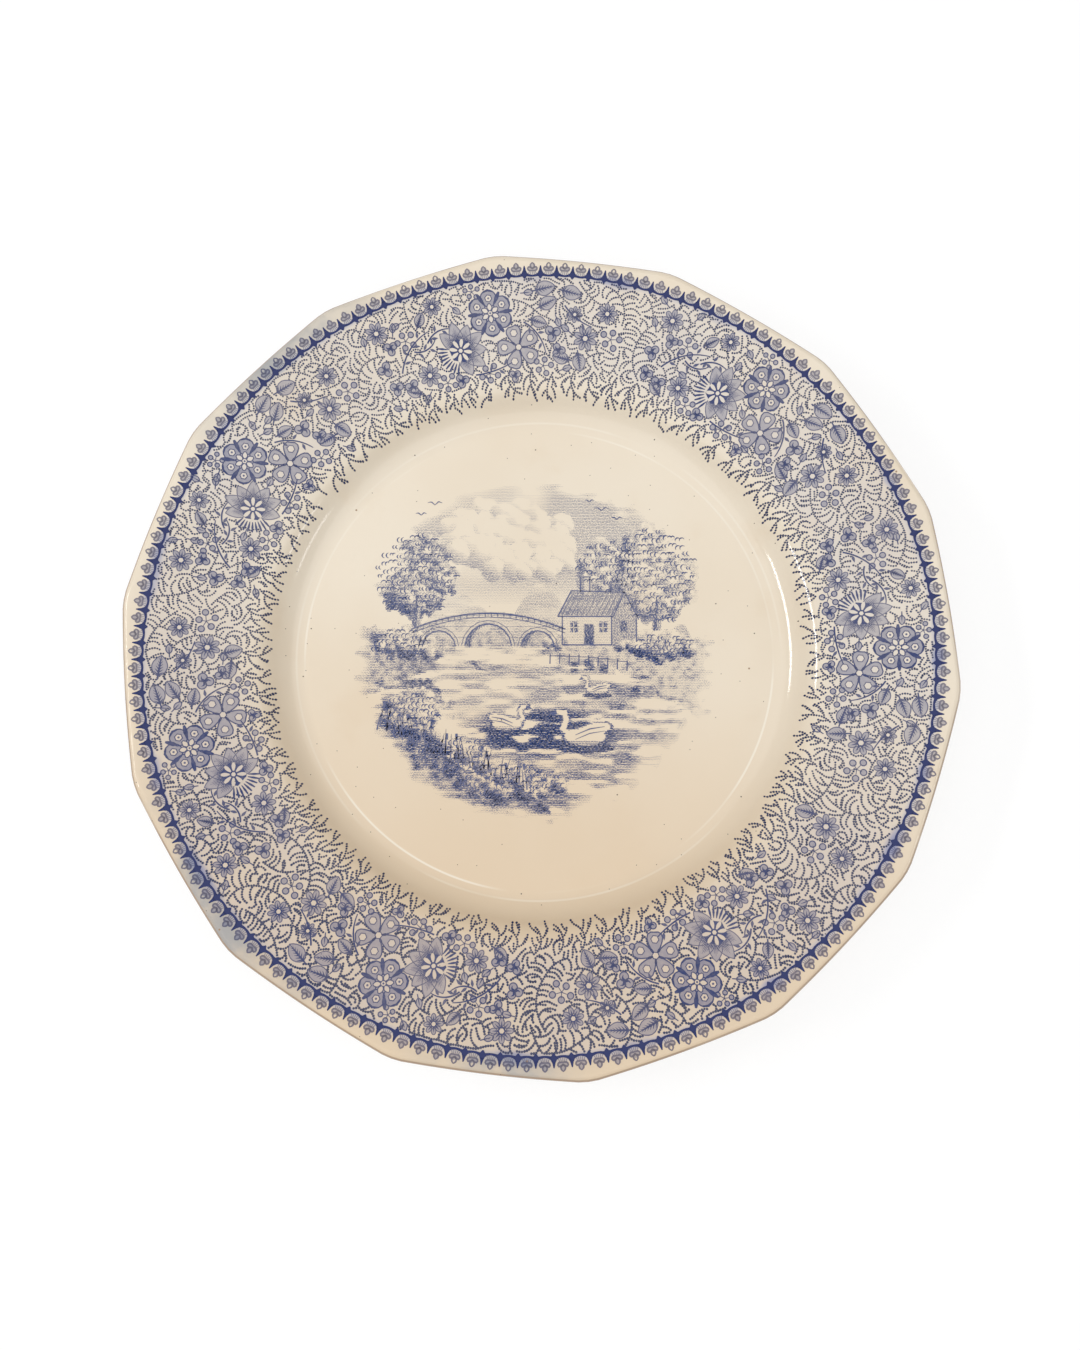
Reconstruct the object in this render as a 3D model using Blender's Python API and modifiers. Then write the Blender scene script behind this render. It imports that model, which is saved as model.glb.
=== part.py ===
"""A fourteen-sided dinner plate: a fired clay body, printed films on its face, and the glaze over them."""

import math

import bmesh
import bpy

# Driving dimensions, in metres
WALL = 0.0046  # thickness of the finished plate, glaze included
GLAZE = 0.0004  # thickness of the glaze
FILM = 0.0001  # thickness of a printed film
FILM_CLEARANCE = 0.0001  # free space on each side of a film
FOOT_HEIGHT = 0.0024  # foot ring below the glazed back
FOOT_FACE = 0.0036  # width of the foot's flat resting face
FOOT_FLARE = 0.0010  # how far each side of the foot widens towards its root
FOOT_INSET = 0.0055  # middle of the foot, in from the edge of the well's flat floor
FOOT_CLEARANCE = 0.0003  # free space between the foot and the glaze on each side of it
WELL_RADIUS = 0.0740  # flat floor of the well
CAVETTO_ROUND = 0.0130  # hollow curve that leads from the floor into the well's side
SIDE_RUN = 0.0020  # straight stretch of the well's side
SHOULDER_ROUND = 0.0060  # underside of the shoulder, where the side turns over into the rim
RIM_WIDTH = 0.03766  # straight stretch of the rim, from the shoulder to the lip
CORNER_ROUND = 0.0120  # rounding of the outline's corners
SIDE_BOW = 0.0009  # how far the middle of each side bows outwards
PLAIN_RING = 0.0180  # bare floor round the centre print
EDGE_MARGIN = 0.0020  # bare rim outside the edge print
EDGE_BAND = 0.0042  # width of the edge print
PRINT_SPACING = 0.0006  # bare rim between the edge print and the border print

# Slopes, in degrees
SIDE_SLOPE = 50.0  # the well's side
RIM_SLOPE = 13.0  # the rim

# Counts
SIDES = 14  # sides of the outline
STEPS_PER_SIDE = 4  # facets in each side
CAVETTO_STEPS = 4  # facets across the hollow curve
SHOULDER_STEPS = 3  # facets across the shoulder
BORDER_STEPS = 4  # facets across the printed part of the rim
LIP_STEPS = 4  # facets round the lip

# Places that follow from the dimensions
LAYER_GAP = FILM + 2 * FILM_CLEARANCE  # between the body and the glaze
BODY_DEPTH = GLAZE + LAYER_GAP
FILM_DEPTH = GLAZE + FILM_CLEARANCE
FLOOR_HEIGHT = FOOT_HEIGHT + WALL
FOOT_RADIUS = WELL_RADIUS - FOOT_INSET
CENTRE_PRINT_RADIUS = WELL_RADIUS - PLAIN_RING
MERGE = 0.00001


def bend(start, radius, heading, steps):
    """Stations along an arc from start to a new heading. A positive radius turns upwards."""
    r, z, first = start
    centre_r = r - radius * math.sin(first)
    centre_z = z + radius * math.cos(first)
    headings = [first + (heading - first) * step / steps for step in range(1, steps + 1)]
    return [(centre_r + radius * math.sin(h), centre_z - radius * math.cos(h), h) for h in headings]


def run(start, length):
    """The station a straight run away from start."""
    r, z, heading = start
    return (r + length * math.cos(heading), z + length * math.sin(heading), heading)


def inside(station, depth):
    """The point that lies a depth below the face at a station."""
    r, z, heading = station
    return (r + depth * math.sin(heading), z - depth * math.cos(heading))


# Stations of the face from the centre to the lip, each a radius, a height and a heading
FLOOR = [(radius, FLOOR_HEIGHT, 0.0) for radius in (0.0, CENTRE_PRINT_RADIUS, WELL_RADIUS)]
CAVETTO = bend(FLOOR[-1], CAVETTO_ROUND, math.radians(SIDE_SLOPE), CAVETTO_STEPS)
SIDE_TOP = run(CAVETTO[-1], SIDE_RUN)
SHOULDER = bend(SIDE_TOP, -(SHOULDER_ROUND + WALL), math.radians(RIM_SLOPE), SHOULDER_STEPS)
RIM_END = run(SHOULDER[-1], RIM_WIDTH)
EDGE_OUTER = run(RIM_END, -EDGE_MARGIN)
EDGE_INNER = run(EDGE_OUTER, -EDGE_BAND)
BORDER_WIDTH = RIM_WIDTH - EDGE_MARGIN - EDGE_BAND - PRINT_SPACING
BORDER = [run(SHOULDER[-1], BORDER_WIDTH * step / BORDER_STEPS) for step in range(1, BORDER_STEPS + 1)]
RIM = BORDER + [EDGE_INNER, EDGE_OUTER, RIM_END]

# Radii that the outline works between
ROUND_RADIUS = SHOULDER[-1][0]
CORNER_RADIUS = inside(RIM_END, WALL / 2)[0] + WALL / 2


def lip(depth):
    """Points round the lip, between the face and the back, a depth inside the finished surface."""
    centre_r, centre_z = inside(RIM_END, WALL / 2)
    slope = RIM_END[2]
    radius = WALL / 2 - depth
    turns = [slope + math.pi / 2 - math.pi * step / LIP_STEPS for step in range(1, LIP_STEPS)]
    return [(centre_r + radius * math.cos(t), centre_z + radius * math.sin(t)) for t in turns]


def skin(depth):
    """The face from the centre outwards, the lip, and the back in as far as the well's flat floor."""
    face = FLOOR + CAVETTO + [SIDE_TOP] + SHOULDER + RIM
    back = [RIM_END] + SHOULDER[::-1] + [SIDE_TOP] + CAVETTO[::-1] + [FLOOR[-1]]
    face_points = [inside(station, depth) for station in face]
    back_points = [inside(station, WALL - depth) for station in back]
    return face_points + lip(depth) + back_points


def film(stations):
    """The outline of a printed film that covers these stations of the face."""
    top = [inside(station, FILM_DEPTH) for station in stations]
    bottom = [inside(station, FILM_DEPTH + FILM) for station in stations]
    return top + bottom[::-1]


def clay_profile():
    under = FOOT_HEIGHT + BODY_DEPTH
    half_face = FOOT_FACE / 2
    half_root = half_face + FOOT_FLARE
    foot = [
        (FOOT_RADIUS + half_root, under),
        (FOOT_RADIUS + half_face, 0.0),
        (FOOT_RADIUS - half_face, 0.0),
        (FOOT_RADIUS - half_root, under),
    ]
    return skin(BODY_DEPTH) + foot + [(0.0, under)]


def glaze_profile():
    end = FOOT_RADIUS + FOOT_FACE / 2 + FOOT_FLARE + FOOT_CLEARANCE
    ends = [(end, FOOT_HEIGHT), (end, FOOT_HEIGHT + GLAZE)]
    return skin(0.0) + ends + skin(GLAZE)[::-1]


def recess_profile():
    radius = FOOT_RADIUS - FOOT_FACE / 2 - FOOT_FLARE - FOOT_CLEARANCE
    top = FOOT_HEIGHT + GLAZE
    return [(0.0, top), (radius, top), (radius, FOOT_HEIGHT), (0.0, FOOT_HEIGHT)]


def outline_radius(angle):
    """Distance from the axis to the rounded, slightly bowed outline. A corner lies at angle 0."""
    half = math.pi / SIDES
    from_corner = abs((angle + half) % (2 * half) - half)
    flat = CORNER_RADIUS * math.cos(half)
    arc_centre = (flat - CORNER_ROUND) / math.cos(half)
    arc_end = math.atan2(CORNER_ROUND * math.sin(half), arc_centre + CORNER_ROUND * math.cos(half))
    bow = SIDE_BOW * (1 - ((half - from_corner) / half) ** 2)
    if from_corner > arc_end:
        return flat / math.cos(half - from_corner) + bow
    reach = math.sqrt(CORNER_ROUND**2 - (arc_centre * math.sin(from_corner)) ** 2)
    return arc_centre * math.cos(from_corner) + reach + bow


def draw_to_outline(vertex):
    """Moves a point of the turned plate towards the axis, so that the round rim becomes many-sided."""
    radius = math.hypot(vertex.co.x, vertex.co.y)
    share = (radius - ROUND_RADIUS) / (CORNER_RADIUS - ROUND_RADIUS)
    share = min(max(share, 0.0), 1.0)
    weight = share * share * (3 - 2 * share)
    pull = outline_radius(math.atan2(vertex.co.y, vertex.co.x)) / CORNER_RADIUS - 1
    vertex.co.x *= 1 + weight * pull
    vertex.co.y *= 1 + weight * pull


def finish(name, color, roughness):
    material = bpy.data.materials.new(name)
    material.use_nodes = True
    shader = material.node_tree.nodes["Principled BSDF"]
    shader.inputs["Base Color"].default_value = (*color, 1.0)
    shader.inputs["Roughness"].default_value = roughness
    shader.inputs["Metallic"].default_value = 0.0
    return material


def turned(name, profile, material, collection):
    """Turns a profile about Z, draws the rim to the outline and keeps the result as a mesh."""
    guide_mesh = bpy.data.meshes.new(f"{name}_profile")
    closed = profile[0][0] > 0
    edges = [(i, i + 1) for i in range(len(profile) - 1)]
    if closed:
        edges.append((len(profile) - 1, 0))
    guide_mesh.from_pydata([(r, 0.0, z) for r, z in profile], edges, [])
    guide = bpy.data.objects.new(f"{name}_profile", guide_mesh)
    collection.objects.link(guide)
    screw = guide.modifiers.new("turn", "SCREW")
    screw.steps = SIDES * STEPS_PER_SIDE
    screw.render_steps = SIDES * STEPS_PER_SIDE
    screw.use_merge_vertices = True
    screw.merge_threshold = MERGE
    bpy.context.view_layer.update()
    evaluated = guide.evaluated_get(bpy.context.evaluated_depsgraph_get())
    mesh = bpy.data.meshes.new_from_object(evaluated)
    bpy.data.objects.remove(guide)

    shape = bmesh.new()
    shape.from_mesh(mesh)
    bmesh.ops.remove_doubles(shape, verts=shape.verts, dist=MERGE)
    for vertex in shape.verts:
        draw_to_outline(vertex)
    bmesh.ops.recalc_face_normals(shape, faces=shape.faces)
    shape.to_mesh(mesh)
    shape.free()

    mesh.name = name
    mesh.shade_smooth()
    mesh.set_sharp_from_angle(angle=math.radians(30))
    mesh.materials.clear()
    mesh.materials.append(material)
    part = bpy.data.objects.new(name, mesh)
    collection.objects.link(part)
    return part


def build_plate():
    for thing in list(bpy.data.objects):
        bpy.data.objects.remove(thing)
    plate = bpy.data.collections.new("dinner_plate")
    bpy.context.scene.collection.children.link(plate)

    clay = finish("bare_clay", (0.72, 0.62, 0.48), 0.85)
    glaze = finish("cream_glaze", (0.83, 0.76, 0.63), 0.12)
    border_ink = finish("border_blue", (0.28, 0.31, 0.46), 0.40)
    edge_ink = finish("edge_cobalt", (0.04, 0.07, 0.27), 0.40)
    centre_ink = finish("centre_blue", (0.40, 0.42, 0.55), 0.40)

    turned("clay_body", clay_profile(), clay, plate)
    rim_stations = [CAVETTO[-1], SIDE_TOP] + SHOULDER + BORDER
    turned("border_print", film(rim_stations), border_ink, plate)
    turned("edge_print", film([EDGE_INNER, EDGE_OUTER]), edge_ink, plate)
    turned("centre_print", film(FLOOR[:2]), centre_ink, plate)
    turned("glaze_coat", glaze_profile(), glaze, plate)
    turned("recess_glaze", recess_profile(), glaze, plate)


build_plate()
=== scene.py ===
# %% [markdown]
# # A blue printed dinner plate
# The plate is one fired piece of earthenware with fourteen soft sides. Its looks come from three things:
# a thick, warm, glossy glaze, a print in blue that lies under that glaze, and small faults of age. This
# lesson turns the plate on its axis, draws the rim out to its sides, and then draws the print on it.
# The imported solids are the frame: they fix where everything goes, so they are loaded first.

# %% Load the frame
import math
import random

import bmesh
import bpy
import numpy as np
from mathutils import Euler, Matrix, Vector


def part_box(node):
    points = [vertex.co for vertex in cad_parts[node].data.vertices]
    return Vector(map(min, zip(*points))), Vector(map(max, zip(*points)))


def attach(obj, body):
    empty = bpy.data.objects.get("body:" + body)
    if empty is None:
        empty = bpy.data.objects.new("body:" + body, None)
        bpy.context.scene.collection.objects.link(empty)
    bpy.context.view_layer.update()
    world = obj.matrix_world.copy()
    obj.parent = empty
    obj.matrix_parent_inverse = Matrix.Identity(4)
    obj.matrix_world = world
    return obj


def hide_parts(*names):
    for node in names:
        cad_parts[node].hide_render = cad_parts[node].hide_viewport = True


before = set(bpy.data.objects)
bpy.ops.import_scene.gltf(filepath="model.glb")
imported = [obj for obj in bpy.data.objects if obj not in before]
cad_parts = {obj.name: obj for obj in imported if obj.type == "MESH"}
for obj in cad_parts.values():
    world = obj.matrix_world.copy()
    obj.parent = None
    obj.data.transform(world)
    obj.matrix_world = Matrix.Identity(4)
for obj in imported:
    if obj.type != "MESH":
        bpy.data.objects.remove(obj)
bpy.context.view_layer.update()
MM = 0.001

# %% [markdown]
# ## The section of the plate
# A plate is turned, so one section says nearly everything. It is walked like a road: flat floor, a hollow
# bend up into the side of the well, a short straight side, a bend over the shoulder, and the long rim.
# Each station keeps its heading, so the same walk also gives the back and the underside of the glaze, by
# stepping off the road at a right angle. Heights come from the solids; the bends repeat their sizes.

# %% Sizes of the section
rim_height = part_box("glaze_coat")[1][2]
recess_low, recess_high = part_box("recess_glaze")

WALL = 4.6 * MM
GLAZE = recess_high[2] - recess_low[2]
LAYER_GAP = 0.3 * MM
FOOT_HEIGHT = recess_low[2]
FLOOR_HEIGHT = FOOT_HEIGHT + WALL
RECESS_RADIUS = recess_high[0]
FOOT_FACE = 3.6 * MM
FOOT_FLARE = 1.0 * MM
FOOT_CLEARANCE = 0.3 * MM
FOOT_RADIUS = RECESS_RADIUS + FOOT_CLEARANCE + FOOT_FLARE + FOOT_FACE / 2
WELL_RADIUS = 74.0 * MM
CAVETTO_ROUND = 13.0 * MM
SIDE_RUN = 2.0 * MM
SHOULDER_ROUND = 6.0 * MM + WALL
RIM_WIDTH = 37.66 * MM
SIDE_SLOPE = math.radians(50)
RIM_SLOPE = math.radians(13)
WELL_RING = 0.10 * MM
WELL_RING_WIDTH = 1.6 * MM


def bend(start, radius, heading, steps):
    """Stations along an arc from start to a new heading. A positive radius turns upwards."""
    r, z, first = start
    centre_r = r - radius * math.sin(first)
    centre_z = z + radius * math.cos(first)
    headings = [first + (heading - first) * step / steps for step in range(1, steps + 1)]
    return [(centre_r + radius * math.sin(h), centre_z - radius * math.cos(h), h) for h in headings]


def runs(start, length, steps):
    """Stations along a straight stretch."""
    r, z, heading = start
    parts = [length * step / steps for step in range(1, steps + 1)]
    return [(r + part * math.cos(heading), z + part * math.sin(heading), heading) for part in parts]


def step_off(station, depth):
    """The point that lies a depth below the face at a station."""
    r, z, heading = station
    return (r + depth * math.sin(heading), z - depth * math.cos(heading))


centre = (0.0, FLOOR_HEIGHT, 0.0)
floor_line = runs(centre, WELL_RADIUS, 30)
cavetto = bend(floor_line[-1], CAVETTO_ROUND, SIDE_SLOPE, 14)
side = runs(cavetto[-1], SIDE_RUN, 2)
shoulder = bend(side[-1], -SHOULDER_ROUND, RIM_SLOPE, 12)
rim = runs(shoulder[-1], RIM_WIDTH, 16)
face_line = [centre] + floor_line + cavetto + side + shoulder + rim
ROUND_RADIUS = shoulder[-1][0]
CORNER_RADIUS = step_off(rim[-1], WALL / 2)[0] + WALL / 2
print(f"stations: {len(face_line)}, corners at {CORNER_RADIUS / MM:.1f} mm")

# %% [markdown]
# ## The fourteen sides
# The rim was pressed to fourteen slightly bowed sides with rounded corners, while the well stayed round.
# A formula gives the outline's radius at any angle. The turned shape is then drawn in towards it, not at
# all at the shoulder and fully at the lip. The formula works on whole arrays, because thousands of
# printed marks go through it later.

# %% Outline and the draw towards it
SIDES = 14
CORNER_ROUND = 12.0 * MM
SIDE_BOW = 0.9 * MM


def outline_radius(angle):
    """Distance from the axis to the outline, with a corner at angle 0."""
    half = math.pi / SIDES
    from_corner = np.abs((angle + half) % (2 * half) - half)
    flat = CORNER_RADIUS * math.cos(half)
    arc_centre = (flat - CORNER_ROUND) / math.cos(half)
    arc_end = math.atan2(CORNER_ROUND * math.sin(half), arc_centre + CORNER_ROUND * math.cos(half))
    reach = np.sqrt(np.maximum(CORNER_ROUND**2 - (arc_centre * np.sin(from_corner)) ** 2, 0))
    straight = flat / np.cos(half - from_corner)
    rounded = arc_centre * np.cos(from_corner) + reach
    bow = SIDE_BOW * (1 - ((half - from_corner) / half) ** 2)
    return np.where(from_corner > arc_end, straight, rounded) + bow


def drawn(radius, angle):
    """Where a point of the turned plate ends up when the rim is drawn to its sides."""
    share = np.clip((radius - ROUND_RADIUS) / (CORNER_RADIUS - ROUND_RADIUS), 0, 1)
    weight = share * share * (3 - 2 * share)
    return radius * (1 + weight * (outline_radius(angle) / CORNER_RADIUS - 1))


def undrawn(radius, angle):
    """The turned radius that is drawn to this one, found by trying again a few times."""
    turned_radius = np.array(radius, float)
    for _ in range(6):
        turned_radius += radius - drawn(turned_radius, angle)
    return turned_radius


station_r = np.array([station[0] for station in face_line])
station_z = np.array([station[1] for station in face_line])
station_h = np.array([station[2] for station in face_line])


def on_face(points, lift):
    """Sets flat x, y points on the plate's face, a small height above the glaze."""
    x, y = points[:, 0], points[:, 1]
    angle = np.arctan2(y, x)
    turned_radius = undrawn(np.hypot(x, y), angle)
    height = np.interp(turned_radius, station_r, station_z)
    heading = np.interp(turned_radius, station_r, station_h)
    out = -np.sin(heading) * lift
    return np.stack([x + np.cos(angle) * out, y + np.sin(angle) * out, height + np.cos(heading) * lift], 1)


outline_reach = outline_radius(np.array([0.0, math.pi / SIDES])) / MM
print(f"corners at {outline_reach[0]:.2f} mm, middles of sides at {outline_reach[1]:.2f} mm")

# %% [markdown]
# ## Turning the pieces
# A lathe shape is a line of edges spun about Z. The spin merges its own seam, doubles on the axis are
# welded, and only then are the normals made to point outwards. The steps are a multiple of the sides, so
# every corner has a line of points on it.

# %% Spin a section into a piece
TURN_STEPS = SIDES * 20


def new_piece(name, mesh, material, body, slot, *nodes):
    """Puts a finished mesh in the scene as a piece that rides on the plate and stands for its solids."""
    piece = bpy.data.objects.new(name, mesh)
    bpy.context.scene.collection.objects.link(piece)
    mesh.materials.append(material)
    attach(piece, body)
    if nodes:
        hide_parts(*nodes)
    print(f"{name}: {len(mesh.polygons)} faces")
    return piece


def turned(name, section):
    """A closed mesh turned from a section that starts on the axis, with its rim drawn to the sides."""
    shape = bmesh.new()
    points = [shape.verts.new((r, 0.0, z)) for r, z in section]
    edges = [shape.edges.new(pair) for pair in zip(points, points[1:])]
    bmesh.ops.spin(
        shape, geom=points + edges, cent=(0, 0, 0), axis=(0, 0, 1), angle=2 * math.pi,
        steps=TURN_STEPS, use_merge=True,
    )
    bmesh.ops.remove_doubles(shape, verts=shape.verts, dist=1e-6)
    place = np.array([vertex.co for vertex in shape.verts])
    angle = np.arctan2(place[:, 1], place[:, 0])
    turned_radius = np.hypot(place[:, 0], place[:, 1])
    radius = drawn(turned_radius, angle)
    for vertex, r, a in zip(shape.verts, radius, angle):
        vertex.co.x, vertex.co.y = r * math.cos(a), r * math.sin(a)
    bmesh.ops.recalc_face_normals(shape, faces=shape.faces)
    mesh = bpy.data.meshes.new(name)
    shape.to_mesh(mesh)
    shape.free()
    keep_radius(mesh, turned_radius)
    mesh.shade_smooth()
    return mesh


def keep_radius(mesh, turned_radius):
    """Stores the radius that each point was turned at, in millimetres, for the materials."""
    layer = mesh.attributes.new("turned_radius", "FLOAT", "POINT")
    layer.data.foreach_set("value", (turned_radius / MM).astype(np.float32))


def lip(depth, steps=14):
    """Points round the lip between the face and the back, a depth inside the finished surface."""
    centre_r, centre_z = step_off(rim[-1], WALL / 2)
    radius = WALL / 2 - depth
    turns = [RIM_SLOPE + math.pi / 2 - math.pi * step / steps for step in range(1, steps)]
    return [(centre_r + radius * math.cos(t), centre_z + radius * math.sin(t)) for t in turns]


def ring_rise(station):
    """The faint raised ring that a potter's profile tool leaves round the floor of the well."""
    off = (station[0] - WELL_RADIUS) / WELL_RING_WIDTH
    return WELL_RING * math.exp(-off * off)


def skin(depth):
    """The face, the lip and the back in as far as the flat floor, a depth inside the finished surface."""
    face = [step_off(station, depth - ring_rise(station)) for station in face_line]
    back_line = [rim[-1], rim[7]] + shoulder[::-2] + [side[-1]] + cavetto[::-2] + [floor_line[-1]]
    return face + lip(depth) + [step_off(station, WALL - depth) for station in back_line]


print("steps of a turn:", TURN_STEPS, "points of a skin's section:", len(skin(0.0)))

# %% [markdown]
# ## Marks of ink
# The print was engraved on copper, so all of it is dots, strokes and small flat shapes. They are collected
# as flat marks in millimetres, seen from above, and then laid on the face as a film of real faces. One
# mark is made with an operator and doubled until there are enough copies. Thousands of single operator
# calls would be slow, and a painted texture would blur close up.

# %% Collect marks on a sheet
DOT_SIDES = 6
STROKE_STEPS = 8
SHAPE_POINTS = 20


def new_sheet():
    return {"dots": [], "strokes": [], "shapes": []}


def dash(sheet, x, y, half_length, half_width, turn, tone):
    """A small oval mark that lies along a heading."""
    sheet["dots"].append((x, y, half_length, half_width, turn, tone))


def dot(sheet, x, y, radius, tone):
    dash(sheet, x, y, radius, radius, 0.0, tone)


def stroke(sheet, points, widths, tone):
    """A line through the points. Widths are spread evenly along it."""
    points = np.asarray(points, float)
    lengths = np.hypot(*np.diff(points, axis=0).T)
    along = np.concatenate([[0], np.cumsum(lengths)])
    at = np.linspace(0, along[-1], STROKE_STEPS + 1)
    middle = np.stack([np.interp(at, along, points[:, 0]), np.interp(at, along, points[:, 1])], 1)
    run_x, run_y = np.gradient(middle[:, 0]), np.gradient(middle[:, 1])
    size = np.maximum(np.hypot(run_x, run_y), 1e-9)
    half = np.interp(at, np.linspace(0, along[-1], len(widths)), np.asarray(widths) / 2)
    left = np.stack([-run_y / size * half, run_x / size * half], 1)
    sheet["strokes"].append((np.concatenate([middle - left, middle + left]), tone))


def shape(sheet, outline, tone):
    sheet["shapes"].append((np.asarray(outline, float), tone))


def ring_angles():
    return np.linspace(0, 2 * math.pi, SHAPE_POINTS, endpoint=False)


def at_place(points, place, turn=0.0, size=1.0):
    """Flat points scaled, turned and moved to a place."""
    points = np.asarray(points, float) * size
    c, s = math.cos(turn), math.sin(turn)
    return points @ np.array([[c, s], [-s, c]]) + np.asarray(place)


def disc(place, radius, squash=1.0, turn=0.0):
    angle = ring_angles()
    return at_place(np.stack([radius * np.cos(angle), radius * squash * np.sin(angle)], 1), place, turn)


print("a disc reaches", disc((0, 0), 1.0).max(axis=0), "mm")

# %% Lay a sheet on the face
SHEET_SPAN = 0.27


def doubled(template, count):
    """Fills a bmesh with copies of what it holds, by doubling it."""
    each = len(template.faces)
    made = 1
    while made < count:
        more = min(made, count - made)
        template.faces.ensure_lookup_table()
        faces = template.faces[: more * each]
        edges = list({edge for face in faces for edge in face.edges})
        points = list({point for face in faces for point in face.verts})
        bmesh.ops.duplicate(template, geom=points + edges + faces)
        made += more


def corners_of(mesh):
    corners = np.empty(len(mesh.loops), np.int32)
    mesh.loops.foreach_get("vertex_index", corners)
    return corners


def film_of(marks, kind):
    """A flat mesh of one kind of mark, in millimetres, and the tone of every face."""
    template = bmesh.new()
    if kind == "dots":
        bmesh.ops.create_circle(template, cap_ends=True, segments=DOT_SIDES, radius=1)
        angle = 2 * math.pi * np.arange(DOT_SIDES) / DOT_SIDES
        ring = np.stack([np.cos(angle), np.sin(angle)], 1)
        table = np.array(marks)
        along = ring[None, :, 0] * table[:, 2:3]
        across = ring[None, :, 1] * table[:, 3:4]
        c, s = np.cos(table[:, 4:5]), np.sin(table[:, 4:5])
        flat = table[:, None, :2] + np.stack([along * c - across * s, along * s + across * c], 2)
    elif kind == "shapes":
        bmesh.ops.create_circle(template, cap_ends=True, segments=SHAPE_POINTS, radius=1)
        flat = np.array([mark[0] for mark in marks])
    else:
        bmesh.ops.create_grid(template, x_segments=STROKE_STEPS, y_segments=1, size=1)
        flat = np.array([mark[0] for mark in marks])
    tones = np.repeat([mark[-1] for mark in marks], len(template.faces))
    mesh = bpy.data.meshes.new(kind)
    template.to_mesh(mesh)
    pattern = corners_of(mesh)
    doubled(template, len(marks))
    template.to_mesh(mesh)
    template.free()
    places = np.zeros((len(mesh.vertices), 3), np.float32)
    places[corners_of(mesh), :2] = flat[:, pattern].reshape(-1, 2)
    mesh.vertices.foreach_set("co", places.ravel())
    return mesh, tones


def lay(name, sheet, lift):
    """Turns a sheet of marks into one film of faces that follows the plate's face."""
    film = bmesh.new()
    tones = []
    for kind in ("dots", "strokes", "shapes"):
        if sheet[kind]:
            part, part_tones = film_of(sheet[kind], kind)
            film.from_mesh(part)
            tones.append(part_tones)
            bpy.data.meshes.remove(part)
    mesh = bpy.data.meshes.new(name)
    film.to_mesh(mesh)
    film.free()
    flat = np.empty(len(mesh.vertices) * 3, np.float32)
    mesh.vertices.foreach_get("co", flat)
    flat = flat.reshape(-1, 3)[:, :2].astype(float) * MM
    mesh.vertices.foreach_set("co", on_face(flat, lift).astype(np.float32).ravel())
    keep_radius(mesh, undrawn(np.hypot(*flat.T), np.arctan2(flat[:, 1], flat[:, 0])))
    tone_layer = mesh.attributes.new("tone", "FLOAT", "FACE")
    tone_layer.data.foreach_set("value", np.concatenate(tones).astype(np.float32))
    bake_map = mesh.uv_layers.new(name="OFBake")
    places = flat[corners_of(mesh)] / SHEET_SPAN + 0.5
    bake_map.uv.foreach_set("vector", places.astype(np.float32).ravel())
    mesh.update()
    mesh.shade_smooth()
    return mesh


# %% [markdown]
# ## The border: flowers
# The rim carries bunches of garden flowers on a ground of seaweed sprigs, a stock of the engraver's trade.
# Each kind of flower is a function that draws pale fills on one sheet and dark lines on another. Marks that
# lie on top of others and differ in tone go on sheets of their own, because each sheet becomes one film.

# %% Sheets and petals
fills = new_sheet()
lines = new_sheet()
pale = new_sheet()
eyes = new_sheet()
blockers = []


def petal_outline(length, width, blunt=0.5, notch=0.0):
    """A petal from the origin along +X. Blunt moves its widest place outwards, notch cuts its end in."""
    angle = ring_angles()
    along = (1 - np.cos(angle)) / 2
    reach = along ** (1 / (0.5 + blunt)) * length
    reach = reach - notch * length * np.exp(-((angle - math.pi) / 0.35) ** 2)
    return np.stack([reach, width / 2 * np.sin(angle) * (0.6 + 0.8 * along * blunt)], 1)


def pointed_outline(length, width):
    """A petal or a leaf from the origin along +X that ends in a point."""
    angle = ring_angles()
    along = (1 - np.cos(angle)) / 2
    half = width / 2 * np.sin(math.pi * along**0.9) ** 0.75
    return np.stack([along * length, np.sign(np.sin(angle)) * half], 1)


def hatch_petal(place, turn, length, width, tone, count):
    """Fine engraver's lines that run along a petal from its root."""
    for i in range(count):
        spread = (i / max(count - 1, 1) - 0.5) * 0.8
        tip = length * (0.80 - 0.7 * abs(spread))
        root = (length * 0.12, spread * width * 0.35)
        points = [root, (tip * 0.6, spread * width * 0.8), (tip, spread * width)]
        stroke(lines, at_place(points, place, turn), (0.34, 0.24, 0.05), tone)


def outlined(outline, fill_tone, line_tone, width=0.28):
    """A filled shape with a thin dark edge."""
    shape(fills, outline, fill_tone)
    closed = np.concatenate([outline, outline[:1]])
    half = len(closed) // 2
    stroke(lines, closed[: half + 1], (width, width), line_tone)
    stroke(lines, closed[half:], (width, width), line_tone)


def block(place, radius):
    """Keeps the ground sprigs off a disc."""
    blockers.append((place[0], place[1], radius))


def ring_of(count, turn=0.0):
    """Evenly spread headings."""
    return [turn + 2 * math.pi * i / count for i in range(count)]


def ray(place, turn, start, end):
    """The start, the middle and the end of a line that leaves a place at a heading."""
    return at_place([(start, 0), ((start + end) / 2, 0), (end, 0)], place, turn)


# %% The rosette
BROW = [(math.cos(t), math.sin(t)) for t in (-0.8, 0.0, 0.8)]


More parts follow.
